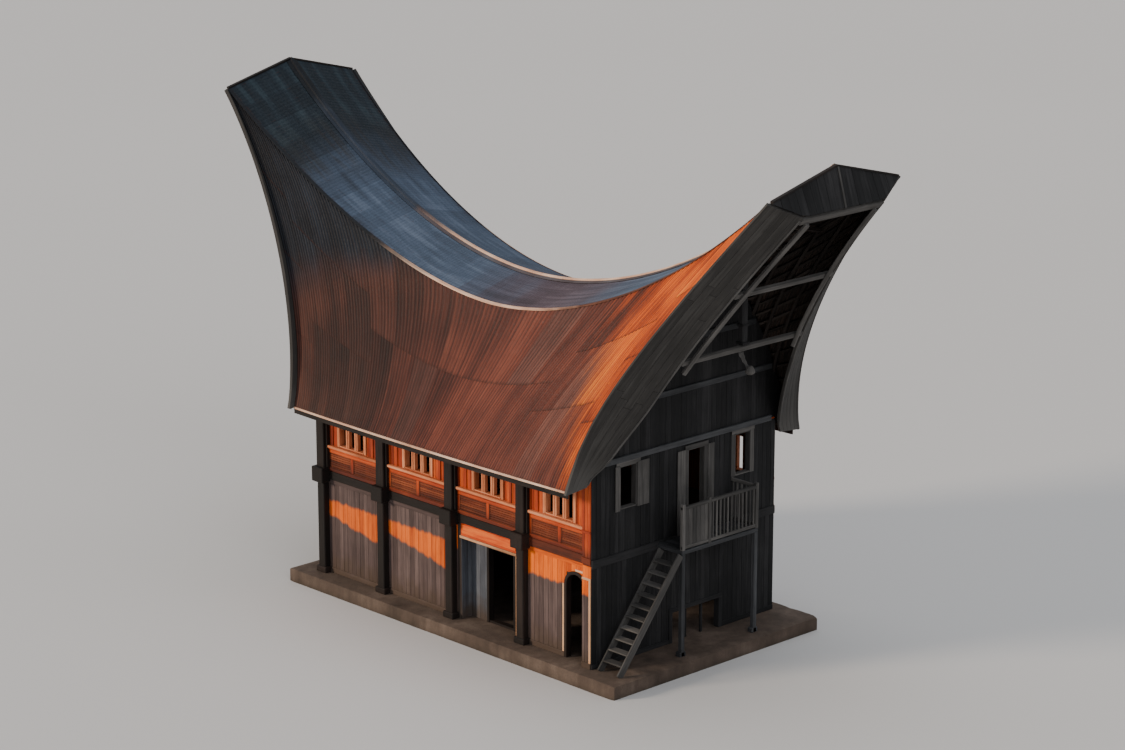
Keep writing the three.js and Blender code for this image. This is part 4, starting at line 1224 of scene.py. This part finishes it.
def make_upper_storey(side, materials):
    """Panelling of a long wall: slatted panels below, windows with three lights above."""
    panels, slats, frames = (Builder(f"{name}_{side}", side)
                             for name in ("upper_panelling", "panel_slats", "upper_window_frames"))
    low, high = PANEL_BASE + BASE_RAIL_HEIGHT, SILL - HEAD_RAIL_DROP
    holes = window_holes(side)
    clad(panels, (-END_FACE + 0.05, END_FACE - 0.05), (PANEL_BASE, WALL_TOP - 0.05), holes, 0.014,
         PANEL_BOARD_WIDTH)
    for start, end, hole in zip(BAY_LINES, BAY_LINES[1:], holes):
        a, b = start + BAY_MARGIN, end - BAY_MARGIN
        head = hole[3] + WINDOW_HEAD_RISE
        panels.wall((a, b), (PANEL_BASE, low), 0.06, chamfer=WIDE_CUT)
        panels.wall((a, b), (high, high + 0.08), 0.05, chamfer=0.01)
        frames.wall((a, b), (SILL - 0.04, SILL + 0.03), 0.11, chamfer=0.014)
        panels.wall((a, b), (SILL - 0.075, SILL - 0.04), 0.075, chamfer=WIDE_CUT)
        panels.wall((a, b), (head, head + 0.09), 0.05)
        stiles = (a + STILE_HALF, (a + b) / 2, b - STILE_HALF)
        for y in stiles:
            panels.wall(around(y, STILE_HALF), (low, high), 0.048, grain=UPRIGHT, chamfer=FINE_CUT)
        for left, right in zip(stiles, stiles[1:]):
            add_panel_slats(slats, (left + STILE_HALF, right - STILE_HALF), (low, high))
        for outer, jamb in ((a + 0.045, hole[0] - 0.04), (b - 0.045, hole[1] + 0.04)):
            for y in (outer, lerp(outer, jamb, 0.5)):
                panels.wall(around(y, 0.04), (SILL + 0.03, head), 0.04, grain=UPRIGHT)
        add_window(frames, hole, SIDE_LIGHTS, 0.07, 0.055)
    for builder, material in ((panels, "panel"), (slats, "slats"), (frames, "window_paint")):
        builder.make(materials[material], "panelling")


def add_panel_slats(builder, along, height):
    """Level slats of one panel, within a narrow moulding."""
    (start, end), (low, high) = along, height
    for levels in equal_spans(low + 0.03, high - 0.03, SLATS_A_PANEL, 0.08):
        builder.wall((start + 0.025, end - 0.025), levels, 0.034, chamfer=FINE_CUT)
    for levels in ((low, low + MOULDING_WIDTH), (high - MOULDING_WIDTH, high)):
        builder.wall(along, levels, MOULDING_OUT, chamfer=FINE_CUT)
    for y in (start, end - MOULDING_WIDTH):
        builder.wall((y, y + MOULDING_WIDTH), height, MOULDING_OUT, grain=UPRIGHT, chamfer=FINE_CUT)


def make_side_storeys(materials):
    for side, _ in SIDES:
        make_upper_storey(side, materials)
        beam = Builder(f"storey_beam_{side}", side)
        beam.wall((-END_FACE, END_FACE), (GROUND_WALL_TOP - 0.05, PANEL_BASE), 0.075, chamfer=WIDE_CUT)
        beam.make(materials["beam"], "dark_timber")
        make_ground_boards(side, materials["ground"])
        make_recess(side, materials)
        make_lintel(side, materials)
        make_arch_frame(side, materials["dark"], materials["trim"])


def make_ground_boards(side, material):
    ground = Builder(f"ground_boards_{side}", side)
    start, end = -END_FACE + 0.02, END_FACE - 0.02
    low, high = SKIRTING[1], GROUND_WALL_TOP - 0.17
    clad(ground, (start, RECESS_START), (low, high), [ARCH_DOOR])
    clad(ground, (RECESS_END, end), (low, high))
    for along in ((start, ARCH_DOOR[0]), (ARCH_DOOR[1], RECESS_START), (RECESS_END, end)):
        ground.wall(along, SKIRTING, 0.04, chamfer=FINE_CUT)
    for along in ((start, RECESS_START), (RECESS_END, end)):
        ground.wall(along, (high, GROUND_WALL_TOP - 0.06), 0.042, chamfer=FINE_CUT)
    ground.make(material, "ground_boards")


def make_recess(side, materials):
    """Boards and door frame of the recess in a long wall. The boards' bluish tint is painted shade."""
    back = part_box("ground_wall_recess_right")[0].x + WALL_DEPTH - WALL_FACE
    start, end = RECESS_START + WALL_DEPTH, RECESS_END - WALL_DEPTH
    door_start, door_end, _, door_top = RECESS_DOOR
    foot, top = GROUND + 0.004, GROUND_WALL_TOP - 0.01
    boards = Builder(f"recess_boards_{side}", side)
    for a, b, bottom in ((start, door_start, foot), (door_start, door_end, door_top), (door_end, end, foot)):
        for along in equal_spans(a, b, max(1, round((b - a) / RECESS_BOARD_WIDTH))):
            out = back + RECESS_BOARD_OUT + boards.dice.uniform(-0.003, 0.003)
            boards.wall(along, (bottom, top), out, back + BURIED, UPRIGHT)
    for inner, way in ((start, 1), (end, -1)):
        along = sorted((inner + way * BURIED, inner + way * RECESS_BOARD_OUT))
        for inside, outside in equal_spans(back + 0.02, -0.005, 3):
            boards.wall(along, (foot, top), outside, inside, UPRIGHT)
    boards.make(materials["recess"], "ground_boards")
    frames = Builder(f"recess_door_frame_{side}", side)
    behind = back - WALL_DEPTH
    for along in ((door_start - 0.06, door_start + 0.02), (door_end - 0.02, door_end + 0.06)):
        frames.wall(along, (foot, door_top + 0.07), back + 0.05, behind, UPRIGHT)
    frames.wall((door_start - 0.06, door_end + 0.06), (door_top, door_top + 0.08), back + 0.055, behind)
    frames.wall((door_start, door_end), (GROUND + 0.002, GROUND + 0.06), back + 0.03, behind)
    frames.make(materials["dark"], "dark_timber")


def make_lintel(side, materials):
    """The board over the recess, and pale strips below it, beside the recess and round the front corner."""
    low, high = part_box("recess_lintel_right")
    # The board's bright orange is painted sunlight
    board = Builder(f"recess_lintel_board_{side}", side)
    board.wall((low.y, high.y), (low.z + 0.045, high.z), 0.012, -WALL_DEPTH, chamfer=0.01)
    board.wall((low.y + 0.05, high.y - 0.05), (low.z + 0.11, high.z - 0.09), 0.028, 0.008, chamfer=FINE_CUT)
    board.make(materials["lintel"], "lintel_timber", [f"recess_lintel_{side}"])
    trim = Builder(f"recess_trim_{side}", side)
    inside, outer = -WALL_DEPTH - 0.01, POST_OUT + 0.018
    trim.wall((low.y - 0.02, high.y + 0.02), (low.z - 0.02, low.z + 0.045), 0.04, inside)
    trim.wall((low.y - 0.03, low.y + 0.035), (GROUND + 0.002, low.z - 0.02), 0.04, inside, UPRIGHT)
    corner, level = -END_FACE, GROUND + 2.29
    trim.wall((corner + 0.005, corner + 0.065), (GROUND + 0.15, level), outer, POST_OUT + BURIED, UPRIGHT)
    trim.wall((corner + 0.065, corner + 0.3), (level - 0.06, level), outer, POST_OUT + BURIED)
    trim.wall((corner + 0.3, -4.4), (level - 0.01, level + 0.04), 0.05, 0.016)
    trim.make(materials["trim"], "pale_timber")


def make_arch_frame(side, material, pale):
    """A curved frame round the arched doorway, with a pale strip beside it."""
    start, end, bottom, top = ARCH_DOOR
    centre, half = (start + end) / 2, (end - start) / 2
    spring = top - half
    sign = -1 if side == "left" else 1
    line = [(start, bottom + 0.003)]
    for k in range(ARCH_STEPS + 1):
        angle = math.pi * (1 - k / ARCH_STEPS)
        line.append((centre + half * math.cos(angle), spring + half * math.sin(angle)))
    line.append((end, bottom + 0.003))
    rings = []
    for y, z in line:
        out = unit(np.array((y - centre, max(z - spring, 0.0))))
        ring = []
        for wide, deep in ((-0.01, -WALL_DEPTH), (0.07, BURIED), (0.07, 0.045), (-0.01, 0.045)):
            ring.append((sign * (WALL_FACE + deep), y + out[0] * wide, z + out[1] * wide))
        rings.append(ring)
    builder = Builder(f"arch_frame_{side}")
    builder.loft(rings, rectangle(0.08, 0, 0.05))
    builder.make(material, "dark_timber")
    strip = Builder(f"arch_strip_{side}", side)
    strip.wall((end + 0.075, end + 0.135), (SKIRTING[1] + 0.002, spring), 0.04, grain=UPRIGHT)
    strip.make(pale, "pale_timber")


def make_posts(dark, panel_material, boards):
    """Side posts with feet, brackets, collars and casings. The front corner ones are boarded instead."""
    split = GROUND_WALL_TOP - 0.02
    brackets = ((UPPER_FLOOR - 0.03, 0.4, 0.215, 0.12), (WALL_TOP - 0.6, 0.2, 0.2, 0.08))
    for side, _ in SIDES:
        for number in range(1, 6):
            corner = number == 1
            node = f"side_post_{number}_{side}"
            low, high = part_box(node)
            upper = Builder(f"timber_post_{number}_{side}", side)
            lower = Builder(f"corner_boards_{side}", side) if corner else upper
            slim = 0.0 if corner else POST_SLIMNESS
            lower.block((low.x, low.y + slim, low.z), (high.x, high.y - slim, split), UPRIGHT, POST_CUT)
            upper.block((low.x, low.y, split + 0.004), (high.x, high.y, high.z), UPRIGHT, POST_CUT)
            if corner:
                add_corner_boards(lower, upper, low, high, split)
                lower.make(boards, "ground_boards", [node])
                upper.make(panel_material, "panelling")
                continue
            middle = (low.y + high.y) / 2
            for z, tall, wide, out in brackets:
                upper.wall(around(middle, wide), around(z, tall / 2), POST_OUT + out, 0.01, 0, 0.02)
            for way in (-1, 1):
                along = sorted((middle + way * POST_HALF, middle + way * (POST_HALF + CASING_WIDTH)))
                upper.wall(along, (UPPER_FLOOR + 0.17, high.z - 0.03), CASING_OUT, 0.004, UPRIGHT, FINE_CUT)
            upper.wall(around(middle, POST_FOOT_HALF), (GROUND + 0.001, POST_FOOT_TOP), POST_OUT + 0.04,
                       0.005, chamfer=0.02)
            upper.make(dark, "dark_timber", [node])


def add_corner_boards(lower, upper, low, high, split):
    """Narrow upright boards and rails on the outer faces of a front corner post."""
    along, back = (low.y, high.y), POST_OUT + BURIED
    for a, b in equal_spans(low.y + 0.008, high.y - 0.008, 3, 0.04):
        upper.wall((a, b), (split + 0.22, high.z - 0.02), POST_OUT + 0.014, back, UPRIGHT)
        a = max(a, low.y + 0.07)
        lower.wall((a, b), (GROUND + 0.152, GROUND + 2.22), POST_OUT + 0.014, back, UPRIGHT)
    upper.wall(along, (split + 0.06, split + 0.21), POST_OUT + 0.03, back, chamfer=WIDE_CUT)
    upper.wall(along, (GROUND + 3.4, GROUND + 3.47), POST_OUT + 0.035, back, chamfer=WIDE_CUT)
    lower.wall(along, (GROUND + 0.002, GROUND + 0.15), POST_OUT + 0.03, back)


def make_end_walls(boards, pale):
    """Cladding, windows and the balcony door of the end walls."""
    start, end, _, top = LOW_OPENING
    foot, top = GROUND + 0.004, top - 0.02
    for side in ("front", "rear"):
        front = side == "front"
        # In front the boards reach over the corner posts' front faces, so these are dark too: painted shade
        outer = WALL_FACE + (POST_OUT if front else 0.0)
        reach = (-outer, outer)
        windows = window_holes(side)
        builder = Builder(f"end_boards_{side}", side)
        holes = [*windows, BALCONY_DOOR] if front else windows
        clad(builder, reach, (UPPER_FLOOR + 0.05, WALL_TOP - 0.04), holes)
        clad(builder, reach, (GROUND + 0.12, GROUND_WALL_TOP - 0.06), [LOW_OPENING] if front else [])
        builder.make(boards, "gable_timber")
        beams = Builder(f"end_beams_{side}", side)
        beams.wall(reach, (GROUND_WALL_TOP - 0.06, UPPER_FLOOR + 0.05), 0.06, chamfer=0.01)
        for span in ((-outer, start), (end, outer)) if front else (reach,):
            beams.wall(span, (GROUND + 0.002, GROUND + 0.12), 0.04, chamfer=FINE_CUT)
        if front:
            beams.wall((start - OPENING_FRAME, end + OPENING_FRAME), (top, top + 0.11), 0.05, -WALL_DEPTH,
                       chamfer=0.01)
            for span in ((start - OPENING_FRAME, start + 0.02), (end - 0.02, end + OPENING_FRAME)):
                beams.wall(span, (foot, top), 0.05, -WALL_DEPTH, UPRIGHT)
            for x in OPENING_BARS:
                beams.wall(around(x, 0.03), (foot, top), -0.03, -0.09, UPRIGHT)
        beams.make(boards, "gable_timber")
        frames = Builder(f"end_window_frames_{side}", side)
        for hole in windows:
            add_window(frames, hole, 1, 0.12, 0.045)
        if front:
            door = (*BALCONY_DOOR[:2], UPPER_FLOOR + 0.01, BALCONY_DOOR[3])
            add_window(frames, door, 1, OPENING_FRAME, 0.05)
        frames.make(pale, "pale_timber")
    shutters = Builder("balcony_shutters", "front")
    for a, b, bottom, top in SHUTTERS:
        shutters.wall((a, b), (GROUND + bottom, GROUND + top), 0.075, 0.046, UPRIGHT, 0.006)
    shutters.make(pale, "pale_timber")


def make_balcony(board_material):
    """The deck on its beams, and its two posts with their feet."""
    low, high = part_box("balcony_floor")
    deck = Builder("balcony_deck")
    for a, b in equal_spans(low.x, high.x, DECK_BOARDS):
        deck.block((a, low.y + 0.03, high.z - DECK_BOARD_THICKNESS), (b, high.y, high.z), 1)
    deck.block(low, (high.x, low.y + DECK_EDGE_WIDTH, high.z - 0.002), 0, FINE_CUT)
    for x in (low.x, 0.3, high.x - JOIST_WIDTH):
        deck.block((x, low.y + DECK_EDGE_WIDTH, low.z), (x + JOIST_WIDTH, high.y, high.z - 0.031), 1,
                   FINE_CUT)
    deck.make(board_material, "board_timber", ["balcony_floor"])
    for side, _ in SIDES:
        node = f"balcony_post_{side}"
        low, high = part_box(node)
        post = Builder(f"balcony_timber_{side}")
        post.block(low, high, UPRIGHT, 0.015)
        post.block((low.x - 0.04, low.y, low.z), (high.x + 0.04, high.y + 0.04, low.z + 0.12), 0, WIDE_CUT)
        post.make(board_material, "board_timber", [node])


def make_railings(pale):
    """A front railing, boarded beside the stair and with balusters beyond, and one at the far end."""
    (x0, y0, z0), (x1, y1, z1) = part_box("balcony_railing_front")
    foot, head = z0 + 0.1, z1 - 0.07
    rails = Builder("balcony_rails")
    rails.block((x0, y0 - 0.01, z1 - HAND_RAIL_HEIGHT), (x1, y1 + 0.02, z1), 0, WIDE_CUT)
    rails.block((x0, y0, z0 + FOOT_RAIL[0]), (x1, y1, z0 + FOOT_RAIL[1]), 0, FINE_CUT)
    for x in (x0, BOARDED_END, x1 - RAILING_POST_WIDTH):
        rails.block((x, y0 - 0.012, z0), (x + RAILING_POST_WIDTH, y1 + 0.03, z1 + 0.06), UPRIGHT,
                    WIDE_CUT)
    for a, b in equal_spans(x0 + RAILING_POST_WIDTH, BOARDED_END, RAILING_BOARDS):
        rails.block((a, y0 + 0.015, foot), (b, y1 - 0.02, head))
    for k in range(FRONT_BALUSTERS):
        a, b = around(lerp(0.0, x1 - RAILING_POST_WIDTH, (k + 0.6) / FRONT_BALUSTERS), BALUSTER_HALF)
        rails.block((a, y0 + 0.008, foot), (b, y0 + 0.052, head), UPRIGHT, FINE_CUT)
    rails.make(pale, "pale_timber", ["balcony_railing_front"], name="balcony_rails_front")
    low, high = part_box("balcony_railing_end")
    rails = Builder("balcony_rails_end")
    rails.block((low.x, low.y, z1 - HAND_RAIL_HEIGHT), (high.x + 0.01, high.y, z1), 1, WIDE_CUT)
    rails.block((low.x, low.y, z0 + FOOT_RAIL[0]), (high.x, high.y, z0 + FOOT_RAIL[1]), 1, FINE_CUT)
    for k in range(END_BALUSTERS):
        a, b = around(lerp(low.y, high.y, (k + 0.5) / END_BALUSTERS), BALUSTER_HALF)
        rails.block((low.x + 0.01, a, foot), (low.x + 0.054, b, head), UPRIGHT, FINE_CUT)
    rails.make(pale, "pale_timber", ["balcony_railing_end"])


def make_stair(pale):
    low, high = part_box("front_stair")
    stair = Builder("stair_timber")
    foot = np.array((low.x + 0.11, 0.0, low.z))
    head = np.array((high.x - 0.03, 0.0, high.z - 0.1))
    direction, length = unit(head - foot), np.linalg.norm(head - foot)
    axes = np.array((direction, (-direction[2], 0.0, direction[0]), (0.0, 1.0, 0.0)))
    for y in (low.y + 0.025, high.y - 0.025):
        middle = (foot + head) / 2 + np.array((0, y, 0))
        stair.box(middle, (length, STRINGER_DEPTH, STRINGER_THICKNESS), axes, 0.01)
    for k in range(1, TREADS + 1):
        x, _, z = lerp(foot, head, k / (TREADS + 1))
        stair.block((x - TREAD_HALF, low.y + 0.04, z),
                    (x + TREAD_HALF, high.y - 0.04, z + TREAD_THICKNESS), 1, FINE_CUT)
    stair.make(pale, "pale_timber", ["front_stair"])


def make_plinth(material):
    """A worn masonry base: its long edges are rounded and chipped unevenly."""
    low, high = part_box("plinth")
    builder = Builder("plinth_masonry")
    wear = {side: rough_line(builder.dice, *PLINTH_WEAR) for side in (-1, 1)}
    sag = {side: rough_line(builder.dice, *PLINTH_SAG) for side in (-1, 1)}
    rings = []
    for k, y in enumerate(np.linspace(low.y, high.y, PLINTH_STEPS)):
        near_end = max(0.0, 1 - min(k, PLINTH_STEPS - 1 - k) / 1.5) * PLINTH_END_CUT
        ring = []
        for side in (1, -1):
            cut = wear[side][k]
            edge, top = high.x - near_end, high.z - near_end * 0.8
            face = side * (edge - sag[side][k])
            points = [(face, low.z), (face, top - cut * 1.6), (side * (edge - cut * 0.7), top - cut * 0.35),
                      (side * (edge - cut * 2.2), top)]
            ring += points[::side]
        rings.append([(x, y, z) for x, z in ring])
    builder.loft(rings, [(x, z) for x, _, z in rings[0]])
    builder.make(material, "concrete", ["plinth"], 40)


def rough_line(dice, low, high):
    """Values that wander between low and high along the plinth, with a few deeper chips."""
    coarse = [dice.random() for _ in range(PLINTH_STEPS // 4 + 2)]
    fine = [dice.random() for _ in range(PLINTH_STEPS)]
    waves = np.interp(np.arange(PLINTH_STEPS) / 4, np.arange(len(coarse)), coarse)
    return lerp(low, high, np.clip(0.75 * waves ** 2 + 0.25 * np.array(fine), 0, 1))


# Studio

FLOOR_HALF = 900.0
FLOOR_COLORS = ((0.56, 0.55, 0.54, 1), (0.6, 0.59, 0.58, 1))
HORIZON_COLOR = (0.6, 0.6, 0.6, 1)
ZENITH_COLOR = (0.82, 0.84, 0.88, 1)
ZENITH_SHARE = 0.35
WORLD_STRENGTH = 0.6

# Far lights: the way they shine from, strength, width in degrees and colour
LIGHTS = {
    "key": ((-46, 26, 17), 2.9, 12, (1.0, 0.82, 0.64)),
    "fill": ((-24, -56, 34), 0.75, 40, (0.94, 0.96, 1.0)),
    "top": ((12, 6, 60), 0.8, 60, (0.94, 0.97, 1.0)),
}


def make_floor():
    graph = Graph("floor_paint")
    soft = graph.position().noise(scale=0.02, detail=2.0)
    graph.finish(graph.mix(soft, *FLOOR_COLORS), 0.9, soft.bump(0.02, 0.01))
    mesh = bpy.data.meshes.new("floor")
    corners = [(x * FLOOR_HALF, y * FLOOR_HALF, 0) for x, y in ((-1, -1), (1, -1), (1, 1), (-1, 1))]
    mesh.from_pydata(corners, [], [(0, 1, 2, 3)])
    mesh.materials.append(graph.material)
    add_object("floor", mesh)


def make_lights():
    """A low warm key from the left rear, cool fill from the camera's side and from above."""
    for name, (way, strength, angle_degrees, color) in LIGHTS.items():
        data = bpy.data.lights.new(name, "SUN")
        data.energy = strength
        data.angle = math.radians(angle_degrees)
        data.color = color
        light = add_object(name, data)
        light.location = Vector(way)
        light.rotation_euler = (-Vector(way)).to_track_quat("-Z", "Y").to_euler()


def make_sky():
    """Even studio light, a little brighter overhead."""
    world = bpy.data.worlds.new("studio")
    world.use_nodes = True
    tree = world.node_tree
    background = tree.nodes["Background"]
    background.inputs["Strength"].default_value = WORLD_STRENGTH
    coordinates, split, ramp = (tree.nodes.new(f"ShaderNode{kind}")
                                for kind in ("TexCoord", "SeparateXYZ", "ValToRGB"))
    stops = ((0.0, HORIZON_COLOR), (ZENITH_SHARE, ZENITH_COLOR))
    for element, (place, color) in zip(ramp.color_ramp.elements, stops):
        element.position, element.color = place, color
    for output, socket in ((coordinates.outputs["Generated"], split.inputs["Vector"]),
                           (split.outputs["Z"], ramp.inputs["Fac"]),
                           (ramp.outputs["Color"], background.inputs["Color"])):
        tree.links.new(output, socket)
    bpy.context.scene.world = world


# Materials by their use


def dress_nodes(materials):
    """Gives each CAD node that still shows its material."""
    rules = {
        "ground_wall_front": "core_gable", "ground_wall_rear": "core_gable", "ground_wall": "core_ground",
        "upper_wall_front": "core_gable", "upper_wall_rear": "core_gable", "upper_wall": "core_panel",
        "gable_wall": "core_gable",
    }
    for name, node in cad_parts.items():
        if not node.hide_render:
            key = next((key for start, key in rules.items() if name.startswith(start)), "core_dark")
            node.data.materials.clear()
            node.data.materials.append(materials[key])


def make_materials():
    mud = (74, 60, 48)
    shadow = ((48, 20, 11), UPPER_FLOOR + 0.26, 0.2, 0.25)
    bare = {"grained": False}
    return {
        "dark": timber("dark_post_timber", (8, 5, 4), (20, 13, 10), (42, 30, 25), 0.7),
        # The storey beam's lighter brown in the front bay is painted light
        "beam": timber("storey_beam_timber", (9, 6, 5), (22, 15, 12), (44, 32, 27), 0.7,
                       warm=(((50, 20, 10), (104, 44, 20)), lit_front_bay)),
        "panel": timber("panelling_paint", (88, 24, 4), (162, 55, 10), (212, 96, 34), 0.6, foot=shadow),
        # The slats are darker than the panelling, partly their own colour and partly painted shade
        "slats": timber("panel_slats", (58, 24, 12), (108, 48, 24), (150, 80, 46), 0.7, foot=shadow),
        "window_paint": timber("window_paint", (136, 72, 42), (204, 124, 82), (238, 178, 138), 0.6,
                               uneven=0.2),
        # The end walls' near-black boards are partly their own weathered colour and partly painted shade
        "gable": timber("gable_boards", (14, 14, 15), (27, 27, 28), (50, 49, 50), 0.86, uneven=0.28),
        "bargeboard": timber("bargeboard_planks", (34, 33, 31), (52, 50, 48), (78, 76, 73), weather=0.35,
                             uneven=0.12, foot=((88, 86, 83), GROUND + 4.9, 0.9, 1.5)),
        "grey": timber("grey_timber", (32, 33, 34), (52, 53, 55), (80, 81, 83), 0.82),
        "pale": timber("pale_timber", (42, 41, 40), (70, 68, 66), (106, 103, 100)),
        "trim": timber("pale_trim", (150, 106, 74), (212, 166, 128), (240, 210, 180), 0.7),
        # The lintel board's bright orange is painted sunlight
        "lintel": timber("lintel_board", (132, 42, 6), (204, 72, 14), (240, 122, 44), 0.62),
        # The ground boards' orange zones are painted sunlight; their grey and the splashed mud are their own
        "ground": timber("ground_boards", (54, 44, 42), (82, 68, 66), (116, 99, 95), 0.85, weather=0.4,
                         uneven=0.24, splash=mud, warm=(((172, 60, 4), (250, 118, 10)), sunlit_ground_boards)),
        # The recess boards' bluish tint is painted shade; their grey is their own
        "recess": timber("recess_boards", (48, 50, 55), (76, 80, 88), (112, 116, 122), 0.85, uneven=0.22,
                         splash=mud),
        "core_ground": timber("ground_wall_core", (38, 32, 28), (60, 51, 46), (86, 76, 68), 0.9, **bare),
        "core_panel": timber("upper_wall_core", (54, 24, 12), (96, 44, 20), (134, 72, 38), 0.7, **bare),
        # The end walls' core is near black too, partly as painted shade
        "core_gable": timber("end_wall_core", (12, 12, 13), (22, 22, 24), (38, 38, 40), 0.9, **bare),
        "core_dark": timber("inner_timber", (14, 11, 9), (32, 24, 20), (54, 42, 36), 0.85, **bare),
        "framing": timber("roof_framing", (20, 17, 15), (42, 36, 33), (70, 62, 57), 0.85),
        "concrete": concrete("plinth_plaster"),
        "rust": rusted_sheet("rusted_sheets"),
        "band": grey_sheet("ridge_sheets"),
        "drip_edge": pale_metal("drip_edge_metal"),
        "flashing": pale_metal("crease_metal", (-0.1, 0.2), front_rust=0.9),
        "cap": pale_metal("ridge_cap_metal", (-1.1, 0.2), dull_flanks=True, blue=0.9),
    }


def build_house():
    materials = make_materials()
    make_plinth(materials["concrete"])
    make_posts(materials["dark"], materials["panel"], materials["ground"])
    make_side_storeys(materials)
    make_end_walls(materials["gable"], materials["pale"])
    make_gable_cladding(materials["gable"], materials["grey"])
    make_balcony(materials["grey"])
    make_railings(materials["pale"])
    make_stair(materials["pale"])
    make_slopes(materials["rust"])
    make_ridge_band(materials["band"])
    make_framing(materials["framing"])
    make_flashings(materials["flashing"], materials["cap"])
    make_fascias(materials["framing"], materials["drip_edge"])
    make_bargeboards(materials["bargeboard"], materials["pale"])
    make_rails(materials["pale"])
    make_tip_panel(materials["gable"], materials["pale"], materials["dark"])
    make_gable_posts(materials["gable"], materials["pale"])
    dress_nodes(materials)


make_camera()
make_floor()
make_lights()
make_sky()
build_house()
